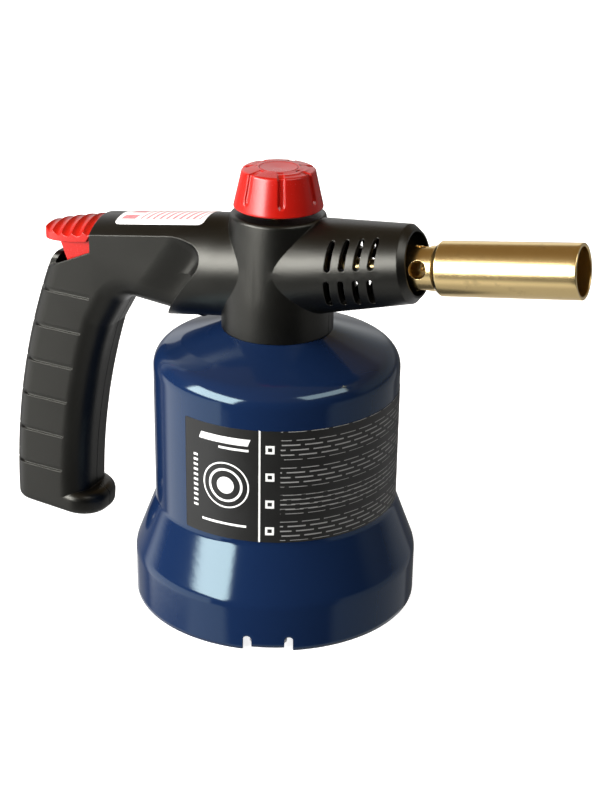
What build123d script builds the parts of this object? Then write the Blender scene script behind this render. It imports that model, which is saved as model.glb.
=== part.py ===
"""Blow lamp that stands on a pressed steel housing for a pierceable gas cartridge.

Millimetres, +Z up. The origin is the centre of the base rim on the resting plane.
+X points to the burner and -Y is the side with the graphic panel.
"""
import math
import os

from build123d import *

# Canister housing
can_radius = 47.3
can_wall = 0.8
rim_radius = 55.5
rim_height = 18.5
flare_top = 40.0
flare_round = 10.0
flare_hollow = 5.0
shoulder_start = 94.35
shoulder_round = 8.1
dome_slope = 20.0
dome_flat_radius = 17.5
notch_width = 3.3
notch_height = 5.7
notch_azimuth = 23.0
notch_pitch = 15.7
tongue_short = 1.4
lip_reach = 3.6
lip_thickness = 0.8

# Cartridge and retaining strap
cartridge_radius = 45.0
cartridge_base = 6.6
cartridge_height = 88.9
cartridge_body = 76.0
cartridge_wall = 0.5
cartridge_top_radius = 9.0
cartridge_foot_radius = 40.0
cartridge_foot_height = 3.0
cartridge_dish = 6.0
cartridge_bulge = 3.0
strap_width = 14.0
strap_thickness = 1.2
strap_end_gap = 0.8
strap_joggle = 2.6
strap_corner = 2.6
strap_lip_gap = 0.05
strap_gap = 0.2
strap_rib_radius = 2.4
strap_rib_length = 56.0
strap_travel = 32.0

# Moulded column and arm
body_wall = 2.3
seam_gap = 0.2
column_foot_radius = 21.25
column_foot_height = 12.0
column_top_radius = 17.8
column_top = 154.2
column_rim_round = 1.5
column_clearance = 0.15
burner_height = 133.6
burner_pitch = 7.8
arm_radius = 19.7
arm_end_x = 74.0
arm_tail = 10.0
arm_cone_start = 20.0
barrel_end = 5.0
barrel_end_radius = 18.0
arm_half_width = 13.5
arm_ramp = 6.0
nose_corner_x = 19.7
nose_corner_height = 139.1
nose_top_x = 60.0
nose_top_height = 159.2
nose_foot_x = 50.0
nose_foot_height = 100.0
nose_round = 7.2

# Shroud round the burner neck
shroud_height = 133.2
shroud_pitch = 9.8
shroud_root_radius = 19.4
shroud_draft_share = 0.0906
shroud_wall = 2.6
shroud_bevel_start = 54.3
shroud_end = 56.6
shroud_bevel = 2.1
slot_first_x = 27.2
slot_pitch = 5.4
slot_count = 4
slot_width = 2.3
slot_length = 10.3
slot_rise = 7.3
slot_drop = 6.5

# Grip
grip_front_round = 10.0
grip_back_round = 7.5
grip_base_round = 3.0
grip_crown_x = 91.5
grip_crown_rise = 9.0
grip_base_height = 15.0
grip_base_x = 95.0
grip_base_tilt = 5.2
underside_front_x = 28.0
underside_front_drop = 19.76
underside_back_x = 61.8
underside_back_drop = 11.53
inner_corner_round = 7.0
grip_throat_x = 70.1
grip_throat_drop = 14.6
grip_mid_x = 79.3
grip_mid_height = 61.6
grip_heel_x = 82.6
grip_heel_height = 12.0
grip_back_x = 115.4
grip_back_height = 15.5
grip_back_mid_x = 110.8
grip_back_mid_height = 72.2
grip_back_top_x = 96.4
grip_back_top_height = 121.5
toe_x = 77.4
toe_root_x = 104.0
toe_height = 10.0
toe_nose_round = 12.0
toe_top_round = 4.0
groove_width = 1.6
groove_depth = 0.9
groove_first = 34.7
groove_pitch = 15.6
groove_count = 6
groove_setback = 9.0
groove_tilt = 1.8

# Pocket for the igniter lever
pocket_lip_height = 130.8
pocket_slope = 23.8
tab_front_x = 90.0
tab_half_width = 8.0
tab_top_height = 126.6
tab_round = 3.0

# Igniter lever
lever_pivot_x = 64.0
lever_pivot_height = 131.0
lever_travel = 8.0
lever_gap = 0.4
cap_half_width = 11.8
cap_start_x = 71.4
cap_start_rise = 19.2
cap_crown_x = 87.4
cap_crown_rise = 18.1
cap_back_x = 96.0
cap_back_rise = 17.0
cap_nose_x = 99.0
cap_nose_rise = 15.2
cap_tip_x = 100.2
cap_tip_rise = 12.0
cap_under_rise = 11.1
cap_taper_x = 80.0
cap_nose_length = 21.0
cap_chin = 2.4
cap_chin_rise = 3.0
scoop_count = 5
scoop_pitch = 5.2
scoop_depth = 1.1
scoop_radius = 3.4
stem_half_width = 10.4
stem_back_x = 89.9
stem_foot_x = 84.8
stem_length = 12.18523
stem_front_x = 75.0
stem_round = 1.2
stem_overlap = 3.4
hub_radius = 4.2
hub_drop = 3.6
hub_half_width = 7.6
pin_radius = 1.5
pin_clearance = 0.05
pin_half_length = 12.0
pin_end_gap = 0.75
lever_arm_rise = 3.45

# Piezo igniter
piezo_x = 83.5
piezo_radius = 5.0
piezo_base = 84.0
piezo_top = 111.0
plunger_radius = 3.4
plunger_head_radius = 4.2
plunger_head = 2.0
plunger_seat = 2.2
plunger_root = 104.0
plunger_bore_clearance = 0.06
boss_gap = 0.15
boss_radius = 3.0

# Gas valve
flange_radius = 12.0
flange_thickness = 3.0
valve_radius = 9.0
valve_top = 142.0
valve_neck_radius = 6.5
valve_neck_top = 148.0
stub_radius = 7.0
stub_bottom = 98.5
nut_across = 20.0
nut_thickness = 4.0
needle_radius = 1.6
needle_tip = 90.0
needle_root = 104.0
needle_cone = 3.0
needle_clearance = 0.05
seal_radius = 6.0
seal_thickness = 3.0
spindle_radius = 3.0
spindle_clearance = 0.05
joint_gap = 0.02
spindle_bottom = 124.0
spindle_taper = 3.0
spindle_travel = 1.2
spindle_turns = 1.5
seat_depth = 2.4
gas_passage = 1.2
gland_across = 16.0
gland_thickness = 5.0
gland_bottom = 143.6
gland_room = 1.15
oring_section = 1.0
oring_count = 2
oring_first = 132.0
oring_pitch = 4.0
port_radius = 5.6
port_length = 14.0

# Knob
knob_gap = 2.3
knob_radius = 16.9
knob_side_height = 14.1
knob_rim_radius = 13.6
knob_crown_rise = 0.8
knob_dish_radius = 7.2
knob_fit = 0.05
knob_wall = 2.0
knob_boss_radius = 6.2
knob_corner = 0.9
flute_count = 7
flute_width = 2.3
flute_depth = 0.9
flute_start = 3.4
flute_first_azimuth = 29.3
knob_cap_radius = 6.8
knob_cap_thickness = 1.0
knob_cap_dish = 0.5
knob_screw_gap = 0.6
knob_screw_head = 2.9
knob_screw_head_height = 1.6
knob_screw_radius = 1.3
knob_screw_length = 7.0
knob_recess_radius = 3.4

# Burner
pipe_radius = 4.4
pipe_bore = 1.6
pipe_waist_start = 31.5
pipe_waist_radius = 2.9
pipe_start = 9.4
pipe_head_start = 46.0
pipe_head_end = 52.0
pipe_head_radius = 6.0
neck_radius = 8.2
neck_bore = 6.05
neck_start = 45.5
neck_end = 64.1
spigot_radius = 7.0
spigot_end = 68.5
air_hole_radius = 3.35
air_hole_place = 59.2
air_hole_turn = 12.0
air_hole_count = 4
tube_radius = 10.0
tube_bore = 8.67
tube_shoulder_end = 66.2
tube_back_wall = 1.8
tube_end = 117.8
jet_hex = 5.0
jet_shank = 4.0
jet_length = 8.0
jet_tip_radius = 1.5
jet_tip_length = 1.6
jet_bore = 0.4
jet_slot = 0.9
jet_slot_depth = 1.2
flame_disc_place = 80.0
flame_disc_thickness = 3.0
flame_hole_radius = 1.3
flame_hole_circle = 5.6
flame_hole_count = 8
flame_centre_hole = 1.8
insulator_radius = 1.2
insulator_offset = 4.5
insulator_start = 43.0
insulator_end = 66.0
insulator_clearance = 0.05
electrode_radius = 0.5
electrode_end = 78.0

# Ignition lead
lead_radius = 1.3
lead_bend = 3.0
lead_clearance = 0.1
lead_rise_x = 75.4
lead_exit_height = 96.0
lead_route = [
    (-60.0, 0, 119.5), (-30.0, 0, 119.5), (-20.5, 7.5, 126.8), (0, 13.3, 129.0),
    (16.84, 9.2, 135.91), (37.65, 4.5, 138.76)]

# Housing screws
screw_head_radius = 2.8
screw_head_height = 1.8
screw_head_place = 9.4
screw_radius = 1.4
screw_tip_place = 6.5
screw_boss_radius = 3.4
screw_hole_clearance = 0.1
screw_slot_width = 0.8
screw_slot_depth = 0.7
grip_screw_x = 101.0
grip_screw_height = 28.0
middle_screw_x = 95.5
middle_screw_height = 66.0
arm_screw_x = 46.0
arm_screw_height = 137.0
foot_screw_x = 15.2
foot_screw_height = 118.5

# Inner ribs of the moulding
rib_wall = 2.0
lower_shelf = 85.0
upper_shelf = 107.0
column_shelf_low = 121.0
column_shelf_high = 140.0
shelf_clearance = 0.1
gangway_x = 27.5
gangway_height = 126.0
gangway_length = 15.0
gangway_rise = 20.0
gangway_width = 16.0
gangway_round = 3.0

# Graphic panels
label_low = 41.4
label_high = 86.7
label_start_azimuth = -19.3
label_end_azimuth = 130.0
label_thickness = 0.2
panel_gap = 0.2
label_corner = 2.0
badge_front = 24.9
badge_back = 63.6
badge_spread = 27.0
badge_thickness = 0.2

# One overrun serves every cut
overrun = 30.0

# Heights in the knob
knob_bottom = column_top + knob_gap
knob_rim_height = knob_bottom + knob_side_height
knob_top_height = knob_rim_height + knob_crown_rise
flute_bottom = knob_bottom + flute_start
spindle_top = (knob_top_height - knob_cap_thickness - knob_screw_gap
               - knob_screw_head_height)

os.makedirs("parts", exist_ok=True)

to_radians = math.pi / 180
pitch_cos = math.cos(burner_pitch * to_radians)
pitch_sin = math.sin(burner_pitch * to_radians)
shroud_cos = math.cos(shroud_pitch * to_radians)
shroud_sin = math.sin(shroud_pitch * to_radians)

burner_plane = Plane(
    origin=(0, 0, burner_height), x_dir=(pitch_cos, 0, pitch_sin), z_dir=(0, -1, 0))
shroud_plane = Plane(
    origin=(0, 0, shroud_height), x_dir=(shroud_cos, 0, shroud_sin), z_dir=(0, -1, 0))
burner_axis = Axis(burner_plane.origin, burner_plane.x_dir)
shroud_axis = Axis(shroud_plane.origin, shroud_plane.x_dir)


def across_burner(distance):
    """Plane square to the burner axis, at a distance along it; its Y points up."""
    return Plane(origin=burner_axis.position + burner_axis.direction * distance,
                 x_dir=(0, 1, 0), z_dir=burner_axis.direction)


def corner_at(sketch, x, y):
    """The sketch's corner nearest to a point in its own plane."""
    return sketch.vertices().sort_by_distance((x, y, 0))[0]


def edge_at(form, x, y, z):
    """The edge of a form that passes nearest to a point."""
    return form.edges().sort_by_distance((x, y, z))[0]


def on_arm(back, rise):
    """Point of the side view, so far behind the column and so far above the burner axis."""
    return -back, burner_height - back * math.tan(burner_pitch * to_radians) + rise


underside_front = on_arm(underside_front_x, -underside_front_drop)
underside_back = on_arm(underside_back_x, -underside_back_drop)
grip_throat = (-grip_throat_x, underside_back[1] - grip_throat_drop)
stem_foot_height = on_arm(stem_back_x, cap_under_rise)[1] - stem_length
plunger_top = stem_foot_height - plunger_seat


def save(builder, label):
    builder.part.label = label
    export_step(builder.part, f"parts/{label}.step")


# Canister housing: profile of the outside, then walls, notches and lips
shoulder_turn = (90 - dome_slope) * to_radians
dome_start_radius = can_radius - shoulder_round + shoulder_round * math.cos(shoulder_turn)
dome_start_height = shoulder_start + shoulder_round * math.sin(shoulder_turn)
dome_rise = math.tan(dome_slope * to_radians)
dome_flat_height = dome_start_height + (dome_start_radius - dome_flat_radius) * dome_rise


def housing_outline(inset):
    """Half profile of the pressed housing, moved inwards by inset, open at the foot."""
    rim = rim_radius - inset
    body = can_radius - inset
    crown = shoulder_round - inset
    crown_mid = shoulder_turn / 2
    start_radius = body - crown + crown * math.cos(shoulder_turn)
    start_height = shoulder_start + crown * math.sin(shoulder_turn)
    flat_height = dome_flat_height - inset
    with BuildSketch(Plane.XZ) as sketch:
        with BuildLine() as line:
            foot = Polyline((0, 0), (rim, 0), (rim, rim_height), (body, flare_top),
                            (body, shoulder_start))
            crown_arc = ThreePointArc(
                (body, shoulder_start),
                (body - crown + crown * math.cos(crown_mid),
                 shoulder_start + crown * math.sin(crown_mid)),
                (start_radius, start_height))
            Polyline(crown_arc @ 1, (dome_flat_radius, flat_height), (0, flat_height), (0, 0))
        make_face()
        fillet(corner_at(sketch, rim, rim_height), flare_round - inset)
        fillet(corner_at(sketch, body, flare_top), flare_hollow + inset)
    return sketch.sketch


tongue_half = (notch_pitch - notch_width) / 2
tongue_inner = rim_radius - can_wall
with BuildPart() as housing_space:
    add(housing_outline(can_wall))
    revolve(axis=Axis.Z)
    with BuildSketch(Plane.XY):
        Circle(rim_radius - can_wall)
    extrude(amount=-overrun)

with BuildPart() as canister_housing:
    add(housing_outline(0))
    revolve(axis=Axis.Z)
    add(housing_space.part, mode=Mode.SUBTRACT)
    with BuildSketch(Plane.XY.offset(dome_flat_height)):
        Circle(stub_radius + column_clearance)
    extrude(amount=-overrun, mode=Mode.SUBTRACT)
    for side in (0, 180):
        facing = Plane(origin=(0, 0, 0), x_dir=(1, 0, 0), z_dir=(0, -1, 0)).rotated(
            (0, 0, notch_azimuth + side))
        with BuildSketch(facing.offset(rim_radius - overrun)):
            with Locations((-notch_pitch / 2, 0), (notch_pitch / 2, 0)):
                SlotCenterToCenter(notch_height * 2 - notch_width, notch_width, rotation=90)
            with Locations((0, 0)):
                Rectangle(notch_pitch, tongue_short * 2)
        extrude(amount=overrun * 2, mode=Mode.SUBTRACT)
        with BuildSketch(facing.offset(tongue_inner - lip_reach)):
            with Locations((0, tongue_short + lip_thickness / 2)):
                Rectangle(tongue_half * 2, lip_thickness)
        extrude(amount=lip_reach)
save(canister_housing, "canister_housing")

# Gas cartridge: a thin can with a pressed foot, pierced at the top by the needle
cartridge_top = cartridge_base + cartridge_height


def cartridge_outline(inset):
    with BuildSketch(Plane.XZ) as sketch:
        with BuildLine():
            radius = cartridge_radius - inset
            foot = cartridge_foot_radius + inset
            high = cartridge_top - inset
            body_top = cartridge_base + cartridge_body
            low = cartridge_base + inset
            dish_top = cartridge_base + cartridge_dish + inset
            side = Polyline((0, dish_top), (foot - cartridge_foot_height, dish_top), (foot, low),
                            (radius - cartridge_foot_height / 2, low),
                            (radius, cartridge_base + cartridge_foot_height), (radius, body_top))
            crown_mid = ((radius + cartridge_top_radius) / 2 + cartridge_bulge,
                         (body_top + high) / 2 + cartridge_bulge)
            ThreePointArc(side @ 1, crown_mid, (cartridge_top_radius, high))
            Polyline((cartridge_top_radius, high), (0, high), (0, dish_top))
        make_face()
    return sketch.sketch


with BuildPart() as cartridge_space:
    add(cartridge_outline(cartridge_wall))
    revolve(axis=Axis.Z)

with BuildPart() as gas_cartridge:
    add(cartridge_outline(0))
    revolve(axis=Axis.Z)
    add(cartridge_space.part, mode=Mode.SUBTRACT)
    with BuildSketch(Plane.XY.offset(cartridge_top)):
        Circle(needle_radius + needle_clearance)
    extrude(amount=-cartridge_dish, mode=Mode.SUBTRACT)
save(gas_cartridge, "gas_cartridge")

# Retaining strap: a sprung bar under the cartridge whose ends hook on the two lips
strap_plane = Plane.XZ.rotated((0, 0, notch_azimuth - 90))
strap_end = tongue_inner - strap_end_gap
strap_low = tongue_short + lip_thickness + strap_lip_gap
strap_high = cartridge_base - strap_gap - strap_thickness
strap_step = cartridge_foot_radius + strap_joggle
with BuildPart() as retaining_strap:
    with BuildSketch(strap_plane):
        with BuildLine():
            half = [(0, strap_high), (strap_step, strap_high),
                    (strap_step + strap_joggle, strap_low), (strap_end, strap_low)]
            upper = [(x, z + strap_thickness) for x, z in reversed(half)]
            Polyline(*half, *upper, half[0])
        make_face()
    extrude(amount=strap_width / 2, both=True)
    fillet(retaining_strap.edges().filter_by(Axis.Z).sort_by_distance(
        (0, 0, strap_low))[-2:], strap_corner)
    with BuildSketch(strap_plane):
        with BuildLine():
            start = strap_rib_length / 2
            Polyline((0, strap_high - strap_thickness / 2), (start, strap_high - strap_thickness / 2),
                     (start, strap_high), (0, strap_high), (0, strap_high - strap_thickness / 2))
        make_face()
    extrude(amount=strap_rib_radius, both=True)
    mirror(about=strap_plane.rotated((0, 0, 90)))
save(retaining_strap, "retaining_strap")


# Moulded body: the same form is built at full size and again one wall smaller
def column_form(inset, foot_drop):
    with BuildPart() as form:
        with BuildSketch(Plane.XZ) as half:
            with BuildLine():
                foot = dome_flat_height - foot_drop
                knee = dome_flat_height + column_foot_height
                Polyline((0, foot), (column_foot_radius - inset, foot),
                         (column_foot_radius - inset, knee),
                         (column_top_radius - inset, column_top - inset),
                         (0, column_top - inset), (0, foot))
            make_face()
            if column_rim_round > inset:
                fillet(corner_at(half, column_top_radius - inset, column_top - inset),
                       column_rim_round - inset)
        revolve(axis=Axis.Z)
    return form.part


def nose_outline(inset, lower_half):
    """Side view of the space beside the flat arm; its right edge is the flat panel's nose."""
    with BuildSketch(Plane.XZ) as sketch:
        with BuildLine():
            far = nose_top_x + overrun * 2
            Polyline((-far, nose_top_height), (-nose_top_x, nose_top_height),
                     (-nose_corner_x, nose_corner_height), (-nose_foot_x, nose_foot_height),
                     (-far, nose_foot_height), (-far, nose_top_height))
        make_face()
        fillet(corner_at(sketch, -nose_corner_x, nose_corner_height), nose_round)
        if inset:
            offset(amount=inset)
        if lower_half:
            with BuildLine():
                axis_far = on_arm(far + overrun, 0)
                Polyline(axis_far, on_arm(0, 0), (0, nose_top_height + overrun),
                         (axis_far[0], nose_top_height + overrun), axis_far)
            make_face(mode=Mode.SUBTRACT)
    return sketch.sketch


def beside_arm(inset):
    """Space beside the flat panel, its edge ramped where it meets the round barrel."""
    with BuildPart() as form:
        extrude(nose_outline(inset, False), amount=overrun, dir=(0, -1, 0))
        inner_face = form.faces().sort_by(Axis.Y)[-1]
        fillet(inner_face.edges(), arm_ramp + inset)
    return form.part.moved(Location((0, inset - arm_half_width, 0)))


def below_arm(inset):
    with BuildPart() as form:
        extrude(nose_outline(inset, True), amount=overrun, dir=(0, -1, 0), both=True)
    return form.part


def arm_form(inset):
    near_side = beside_arm(inset)
    with BuildPart() as form:
        with BuildSketch(burner_plane):
            with BuildLine():
                back = -arm_end_x - arm_tail
                Polyline((back, 0), (back, arm_radius - inset), (-arm_cone_start, arm_radius - inset),
                         (barrel_end, barrel_end_radius - inset), (barrel_end, 0), (back, 0))
            make_face()
        revolve(axis=burner_axis)
        add(near_side, mode=Mode.SUBTRACT)
        add(near_side.mirror(Plane.XZ), mode=Mode.SUBTRACT)
        add(below_arm(inset), mode=Mode.SUBTRACT)
    return form.part


def shroud_radius(distance):
    return shroud_root_radius - shroud_draft_share * distance


def shroud_form():
    bevel_radius = shroud_radius(shroud_bevel_start)
    with BuildPart() as form:
        with BuildSketch(shroud_plane):
            with BuildLine():
                Polyline((0, 0), (0, shroud_root_radius), (shroud_bevel_start, bevel_radius),
                         (shroud_end, bevel_radius - shroud_bevel), (shroud_end, 0), (0, 0))
            make_face()
        revolve(axis=shroud_axis)
    return form.part


def shroud_space():
    mouth = shroud_end + overrun
    with BuildPart() as form:
        with BuildSketch(shroud_plane):
            with BuildLine():
                Polyline((0, 0), (0, shroud_root_radius - shroud_wall),
                         (mouth, shroud_radius(mouth) - shroud_wall), (mouth, 0), (0, 0))
            make_face()
        revolve(axis=shroud_axis)
    return form.part


base_plane = Plane(origin=(-grip_base_x, 0, grip_base_height), z_dir=(0, 0, 1)).rotated(
    (0, grip_base_tilt, 0))


def grip_form(inset):
    """Arm underside and hanging grip, cut off square at its tilted foot."""
    half_width = arm_half_width - inset
    with BuildPart() as form:
        with BuildSketch(Plane.XZ) as side_view:
            with BuildLine():
                start = underside_front
                throat = grip_throat
                heel = (-grip_heel_x, grip_heel_height - overrun / 2)
                back_foot = (-grip_back_x, grip_back_height - overrun / 2)
                back_top = (-grip_back_top_x, grip_back_top_height)
                Polyline(start, underside_back, throat)
                ThreePointArc(throat, (-grip_mid_x, grip_mid_height), heel)
                Line(heel, back_foot)
                ThreePointArc(back_foot, (-grip_back_mid_x, grip_back_mid_height), back_top)
                Polyline(back_top, on_arm(grip_crown_x, grip_crown_rise),
                         on_arm(underside_front_x, grip_crown_rise), start)
            make_face()
            fillet(corner_at(side_view, *underside_back), inner_corner_round)
            if inset:
                offset(amount=-inset)
        extrude(amount=half_width, both=True)
        under_x = (underside_front[0] + underside_back[0]) / 2
        under_z = (underside_front[1] + underside_back[1]) / 2
        throat_x = (grip_throat[0] + underside_back[0]) / 2
        throat_z = (grip_throat[1] + underside_back[1]) / 2
        front_edges = []
        back_edges = []
        for y in (-half_width, half_width):
            front_edges.append(edge_at(form, under_x, y, under_z))
            front_edges.append(edge_at(form, underside_back[0], y, underside_back[1]))
            front_edges.append(edge_at(form, throat_x, y, throat_z))
            front_edges.append(edge_at(form, -grip_mid_x, y, grip_mid_height))
            back_edges.append(edge_at(form, -grip_back_mid_x, y, grip_back_mid_height))
        fillet(front_edges, grip_front_round - inset)
        fillet(back_edges, grip_back_round - inset)
        split(bisect_by=base_plane.offset(inset), keep=Keep.TOP)
    return form.part


with BuildPart() as toe:
    with BuildSketch(base_plane) as plan:
        toe_length = toe_root_x - toe_x
        with Locations((grip_base_x - toe_x - toe_length / 2, 0)):
            Rectangle(toe_length, arm_half_width * 2)
        fillet(plan.vertices().sort_by(Axis.X)[-2:], toe_nose_round)
    extrude(amount=toe_height)
    top_front = toe.faces().sort_by(Axis.Z)[-1].edges().sort_by(Axis.X)[-3:]
    fillet(top_front, toe_top_round)

with BuildPart() as outer_form:
    add(grip_form(0))
    add(toe.part)
    base_face = outer_form.faces().sort_by(Axis.Z)[0]
    fillet(base_face.edges(), grip_base_round)
    add(arm_form(0))
    add(column_form(0, overrun / 3))
    add(shroud_form())

with BuildPart() as inner_form:
    add(grip_form(body_wall))
    add(arm_form(body_wall))
    add(column_form(body_wall, overrun))
    add(shroud_space())
    # Gangway that lets the ignition lead pass from the arm into the column
    with BuildSketch(Plane.XZ):
        with Locations((-gangway_x, gangway_height)):
            RectangleRounded(gangway_length, gangway_rise, gangway_round)
    extrude(amount=gangway_width / 2, both=True)


def shelf(low, spread):
    """Inner rib of the moulding: a level slab of the hollow, within a spread of the column."""
    near, far = spread
    with BuildPart() as slab:
        add(inner_form.part)
        with BuildSketch(Plane.XY.offset(low)):
            with Locations(((near + far) / 2, 0)):
                Rectangle(far - near, arm_radius * 4)
        extrude(amount=rib_wall, mode=Mode.INTERSECT)
    return slab.part


screw_places = [
    (-grip_screw_x, grip_screw_height),
    (-middle_screw_x, middle_screw_height),
    (-arm_screw_x, arm_screw_height),
    (-foot_screw_x, foot_screw_height),
    (foot_screw_x, foot_screw_height),
]
grip_spread = (-grip_back_x, -grip_throat_x + body_wall)
column_spread = (-column_foot_radius, column_foot_radius)
pivot_place = (-lever_pivot_x, lever_pivot_height)

# Screw bosses and pivot bosses run across the hollow and end inside the walls
with BuildPart() as bosses:
    add(outer_form.part)
    with BuildSketch(Plane.XZ):
        with Locations(*screw_places):
            Circle(screw_boss_radius)
    extrude(amount=arm_radius, both=True, mode=Mode.INTERSECT)

with BuildPart() as pivots:
    add(inner_form.part)
    with BuildSketch(Plane.XZ):
        with Locations(pivot_place):
            Circle(hub_radius)
    extrude(amount=arm_radius, both=True, mode=Mode.INTERSECT)
    with BuildSketch(Plane.XZ):
        with Locations(pivot_place):
            Circle(hub_radius * 2)
    extrude(amount=hub_half_width + lever_gap, both=True, mode=Mode.SUBTRACT)


def front_of_grip(height):
    """Distance of the grip's front edge behind the column, at a height."""
    if height > grip_throat[1]:
        share = (height - grip_throat[1]) / grip_throat_drop
        return grip_throat_x + (underside_back_x - grip_throat_x) * share + inner_corner_round / 2
    with BuildLine(mode=Mode.PRIVATE) as front:
        ThreePointArc(grip_throat, (-grip_mid_x, grip_mid_height),
                      (-grip_heel_x, grip_heel_height))
    share = (grip_throat[1] - height) / (grip_throat[1] - grip_heel_height)
    return -(front.line @ share).X


# Finger grooves stop short of the rounded front of the grip
with BuildPart() as grooves:
    with BuildSketch(Plane.XZ):
        for index in range(groove_count):
            height = groove_first + groove_pitch * index
            groove_start = front_of_grip(height) + groove_setback
            with Locations((-groove_start - overrun / 2, height)):
                SlotOverall(overrun, groove_width, rotation=-groove_tilt)
    extrude(amount=arm_radius, both=True)
    add(grip_form(groove_depth), mode=Mode.SUBTRACT)

# Pocket for the igniter lever: open to the top and the back but for a rounded tab
with BuildPart() as pocket:
    with BuildSketch(Plane.XZ):
        with BuildLine():
            fall = math.tan(pocket_slope * to_radians) * overrun * 2
            lip = (-arm_end_x, pocket_lip_height)
            back = (-arm_end_x - overrun * 2, pocket_lip_height - fall)
            Polyline(lip, back, (back[0], column_top + overrun), (lip[0], column_top + overrun), lip)
        make_face()
    extrude(amount=arm_radius * 2, both=True)
    with BuildSketch(Plane.YZ.offset(-tab_front_x)):
        with Locations((0, tab_top_height - tab_half_width)):
            RectangleRounded(tab_half_width * 2, tab_half_width * 2, tab_round)
        with Locations((0, tab_top_height - tab_half_width * 2)):
            Rectangle(tab_half_width * 2, tab_half_width * 2)
    extrude(amount=-overrun, mode=Mode.SUBTRACT)

with BuildPart() as moulding:
    add(outer_form.part)
    add(inner_form.part, mode=Mode.SUBTRACT)
    add(shelf(lower_shelf - rib_wall - shelf_clearance, grip_spread))
    add(shelf(upper_shelf, grip_spread))
    add(shelf(column_shelf_low, column_spread))
    add(shelf(column_shelf_high, column_spread))
    add(bosses.part)
    add(pivots.part)
    with BuildSketch(Plane.XZ):
        with Locations(pivot_place):
            Circle(pin_radius + pin_clearance)
    extrude(amount=pin_half_length + pin_end_gap, both=True, mode=Mode.SUBTRACT)
    # Screw holes: head recess and clearance on the far side, pilot hole on the near side
    with BuildSketch(Plane.XZ):
        with Locations(*screw_places):
            Circle(screw_radius + screw_hole_clearance)
    extrude(amount=screw_tip_place + screw_hole_clearance, mode=Mode.SUBTRACT)
    with BuildSketch(Plane.XZ):
        with Locations(*screw_places):
            Circle(screw_radius + screw_hole_clearance)
    extrude(amount=-screw_head_place, mode=Mode.SUBTRACT)
    with BuildSketch(Plane.XZ.offset(-screw_head_place)):
        with Locations(*screw_places):
            Circle(screw_head_radius + screw_hole_clearance)
    extrude(amount=-overrun, mode=Mode.SUBTRACT)
    # Rooms for the piezo igniter and the gas valve, both held by the shelves
    with BuildSketch(Plane.XY.offset(piezo_base)):
        with Locations((-piezo_x, 0)):
            Circle(piezo_radius + shelf_clearance)
    extrude(amount=overrun, mode=Mode.SUBTRACT)
    with BuildSketch(Plane.XY.offset(dome_flat_height)):
        Circle(valve_radius + shelf_clearance)
    extrude(amount=column_shelf_high - dome_flat_height + rib_wall, mode=Mode.SUBTRACT)
    with BuildSketch(Plane.XY.offset(column_top)):
        Circle(gland_across / 2 + gland_room)
    extrude(amount=-body_wall - rib_wall, mode=Mode.SUBTRACT)
    with BuildSketch(across_burner(barrel_end)):
        Circle(port_radius + shelf_clearance)
    extrude(amount=overrun, mode=Mode.SUBTRACT)
    # Hole for the ignition lead
    with BuildSketch(Plane.XY.offset(upper_shelf)):
        with Locations((-lead_rise_x, 0)):
            Circle(lead_radius + lead_clearance)
    extrude(amount=rib_wall, mode=Mode.SUBTRACT)
    # The foot follows the dome
    with BuildSketch(Plane.XZ):
        with BuildLine():
            edge = column_foot_radius + overrun
            flat = dome_flat_height + column_clearance
            fall = flat - (edge - dome_flat_radius) * dome_rise
            Polyline((0, 0), (0, flat), (dome_flat_radius, flat), (edge, fall), (edge, 0), (0, 0))
        make_face()
    revolve(axis=Axis.Z, mode=Mode.SUBTRACT)
    # Vent slots are moulded square to the parting line, so each one pierces both halves
    with BuildSketch(Plane.XZ):
        for index in range(slot_count):
            x = slot_first_x + slot_pitch * index
            middle = shroud_height + x * math.tan(shroud_pitch * to_radians)
            with Locations((x, middle + slot_rise), (x, middle - slot_drop)):
                SlotOverall(slot_length, slot_width, rotation=90)
    extrude(amount=arm_radius, both=True, mode=Mode.SUBTRACT)
    add(grooves.part, mode=Mode.SUBTRACT)
    add(pocket.part, mode=Mode.SUBTRACT)

with BuildPart() as left_housing:
    add(moulding.part)
    split(bisect_by=Plane.XZ.offset(seam_gap / 2), keep=Keep.TOP)
save(left_housing, "left_housing")

with BuildPart() as right_housing:
    add(moulding.part)
    split(bisect_by=Plane.XZ.offset(-seam_gap / 2), keep=Keep.BOTTOM)
save(right_housing, "right_housing")

with BuildPart() as housing_screws:
    with BuildSketch(Plane.XZ.offset(screw_tip_place)):
        with Locations(*screw_places):
            Circle(screw_radius)
    extrude(amount=-screw_tip_place - screw_head_place)
    with BuildSketch(Plane.XZ.offset(-screw_head_place)):
        with Locations(*screw_places):
            Circle(screw_head_radius)
    extrude(amount=-screw_head_height)
    with BuildSketch(Plane.XZ.offset(-screw_head_place - screw_head_height)):
        with Locations(*screw_places):
            Rectangle(screw_head_radius * 2, screw_slot_width)
            Rectangle(screw_slot_width, screw_head_radius * 2)
    extrude(amount=screw_slot_depth, mode=Mode.SUBTRACT)
save(housing_screws, "housing_screws")


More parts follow.
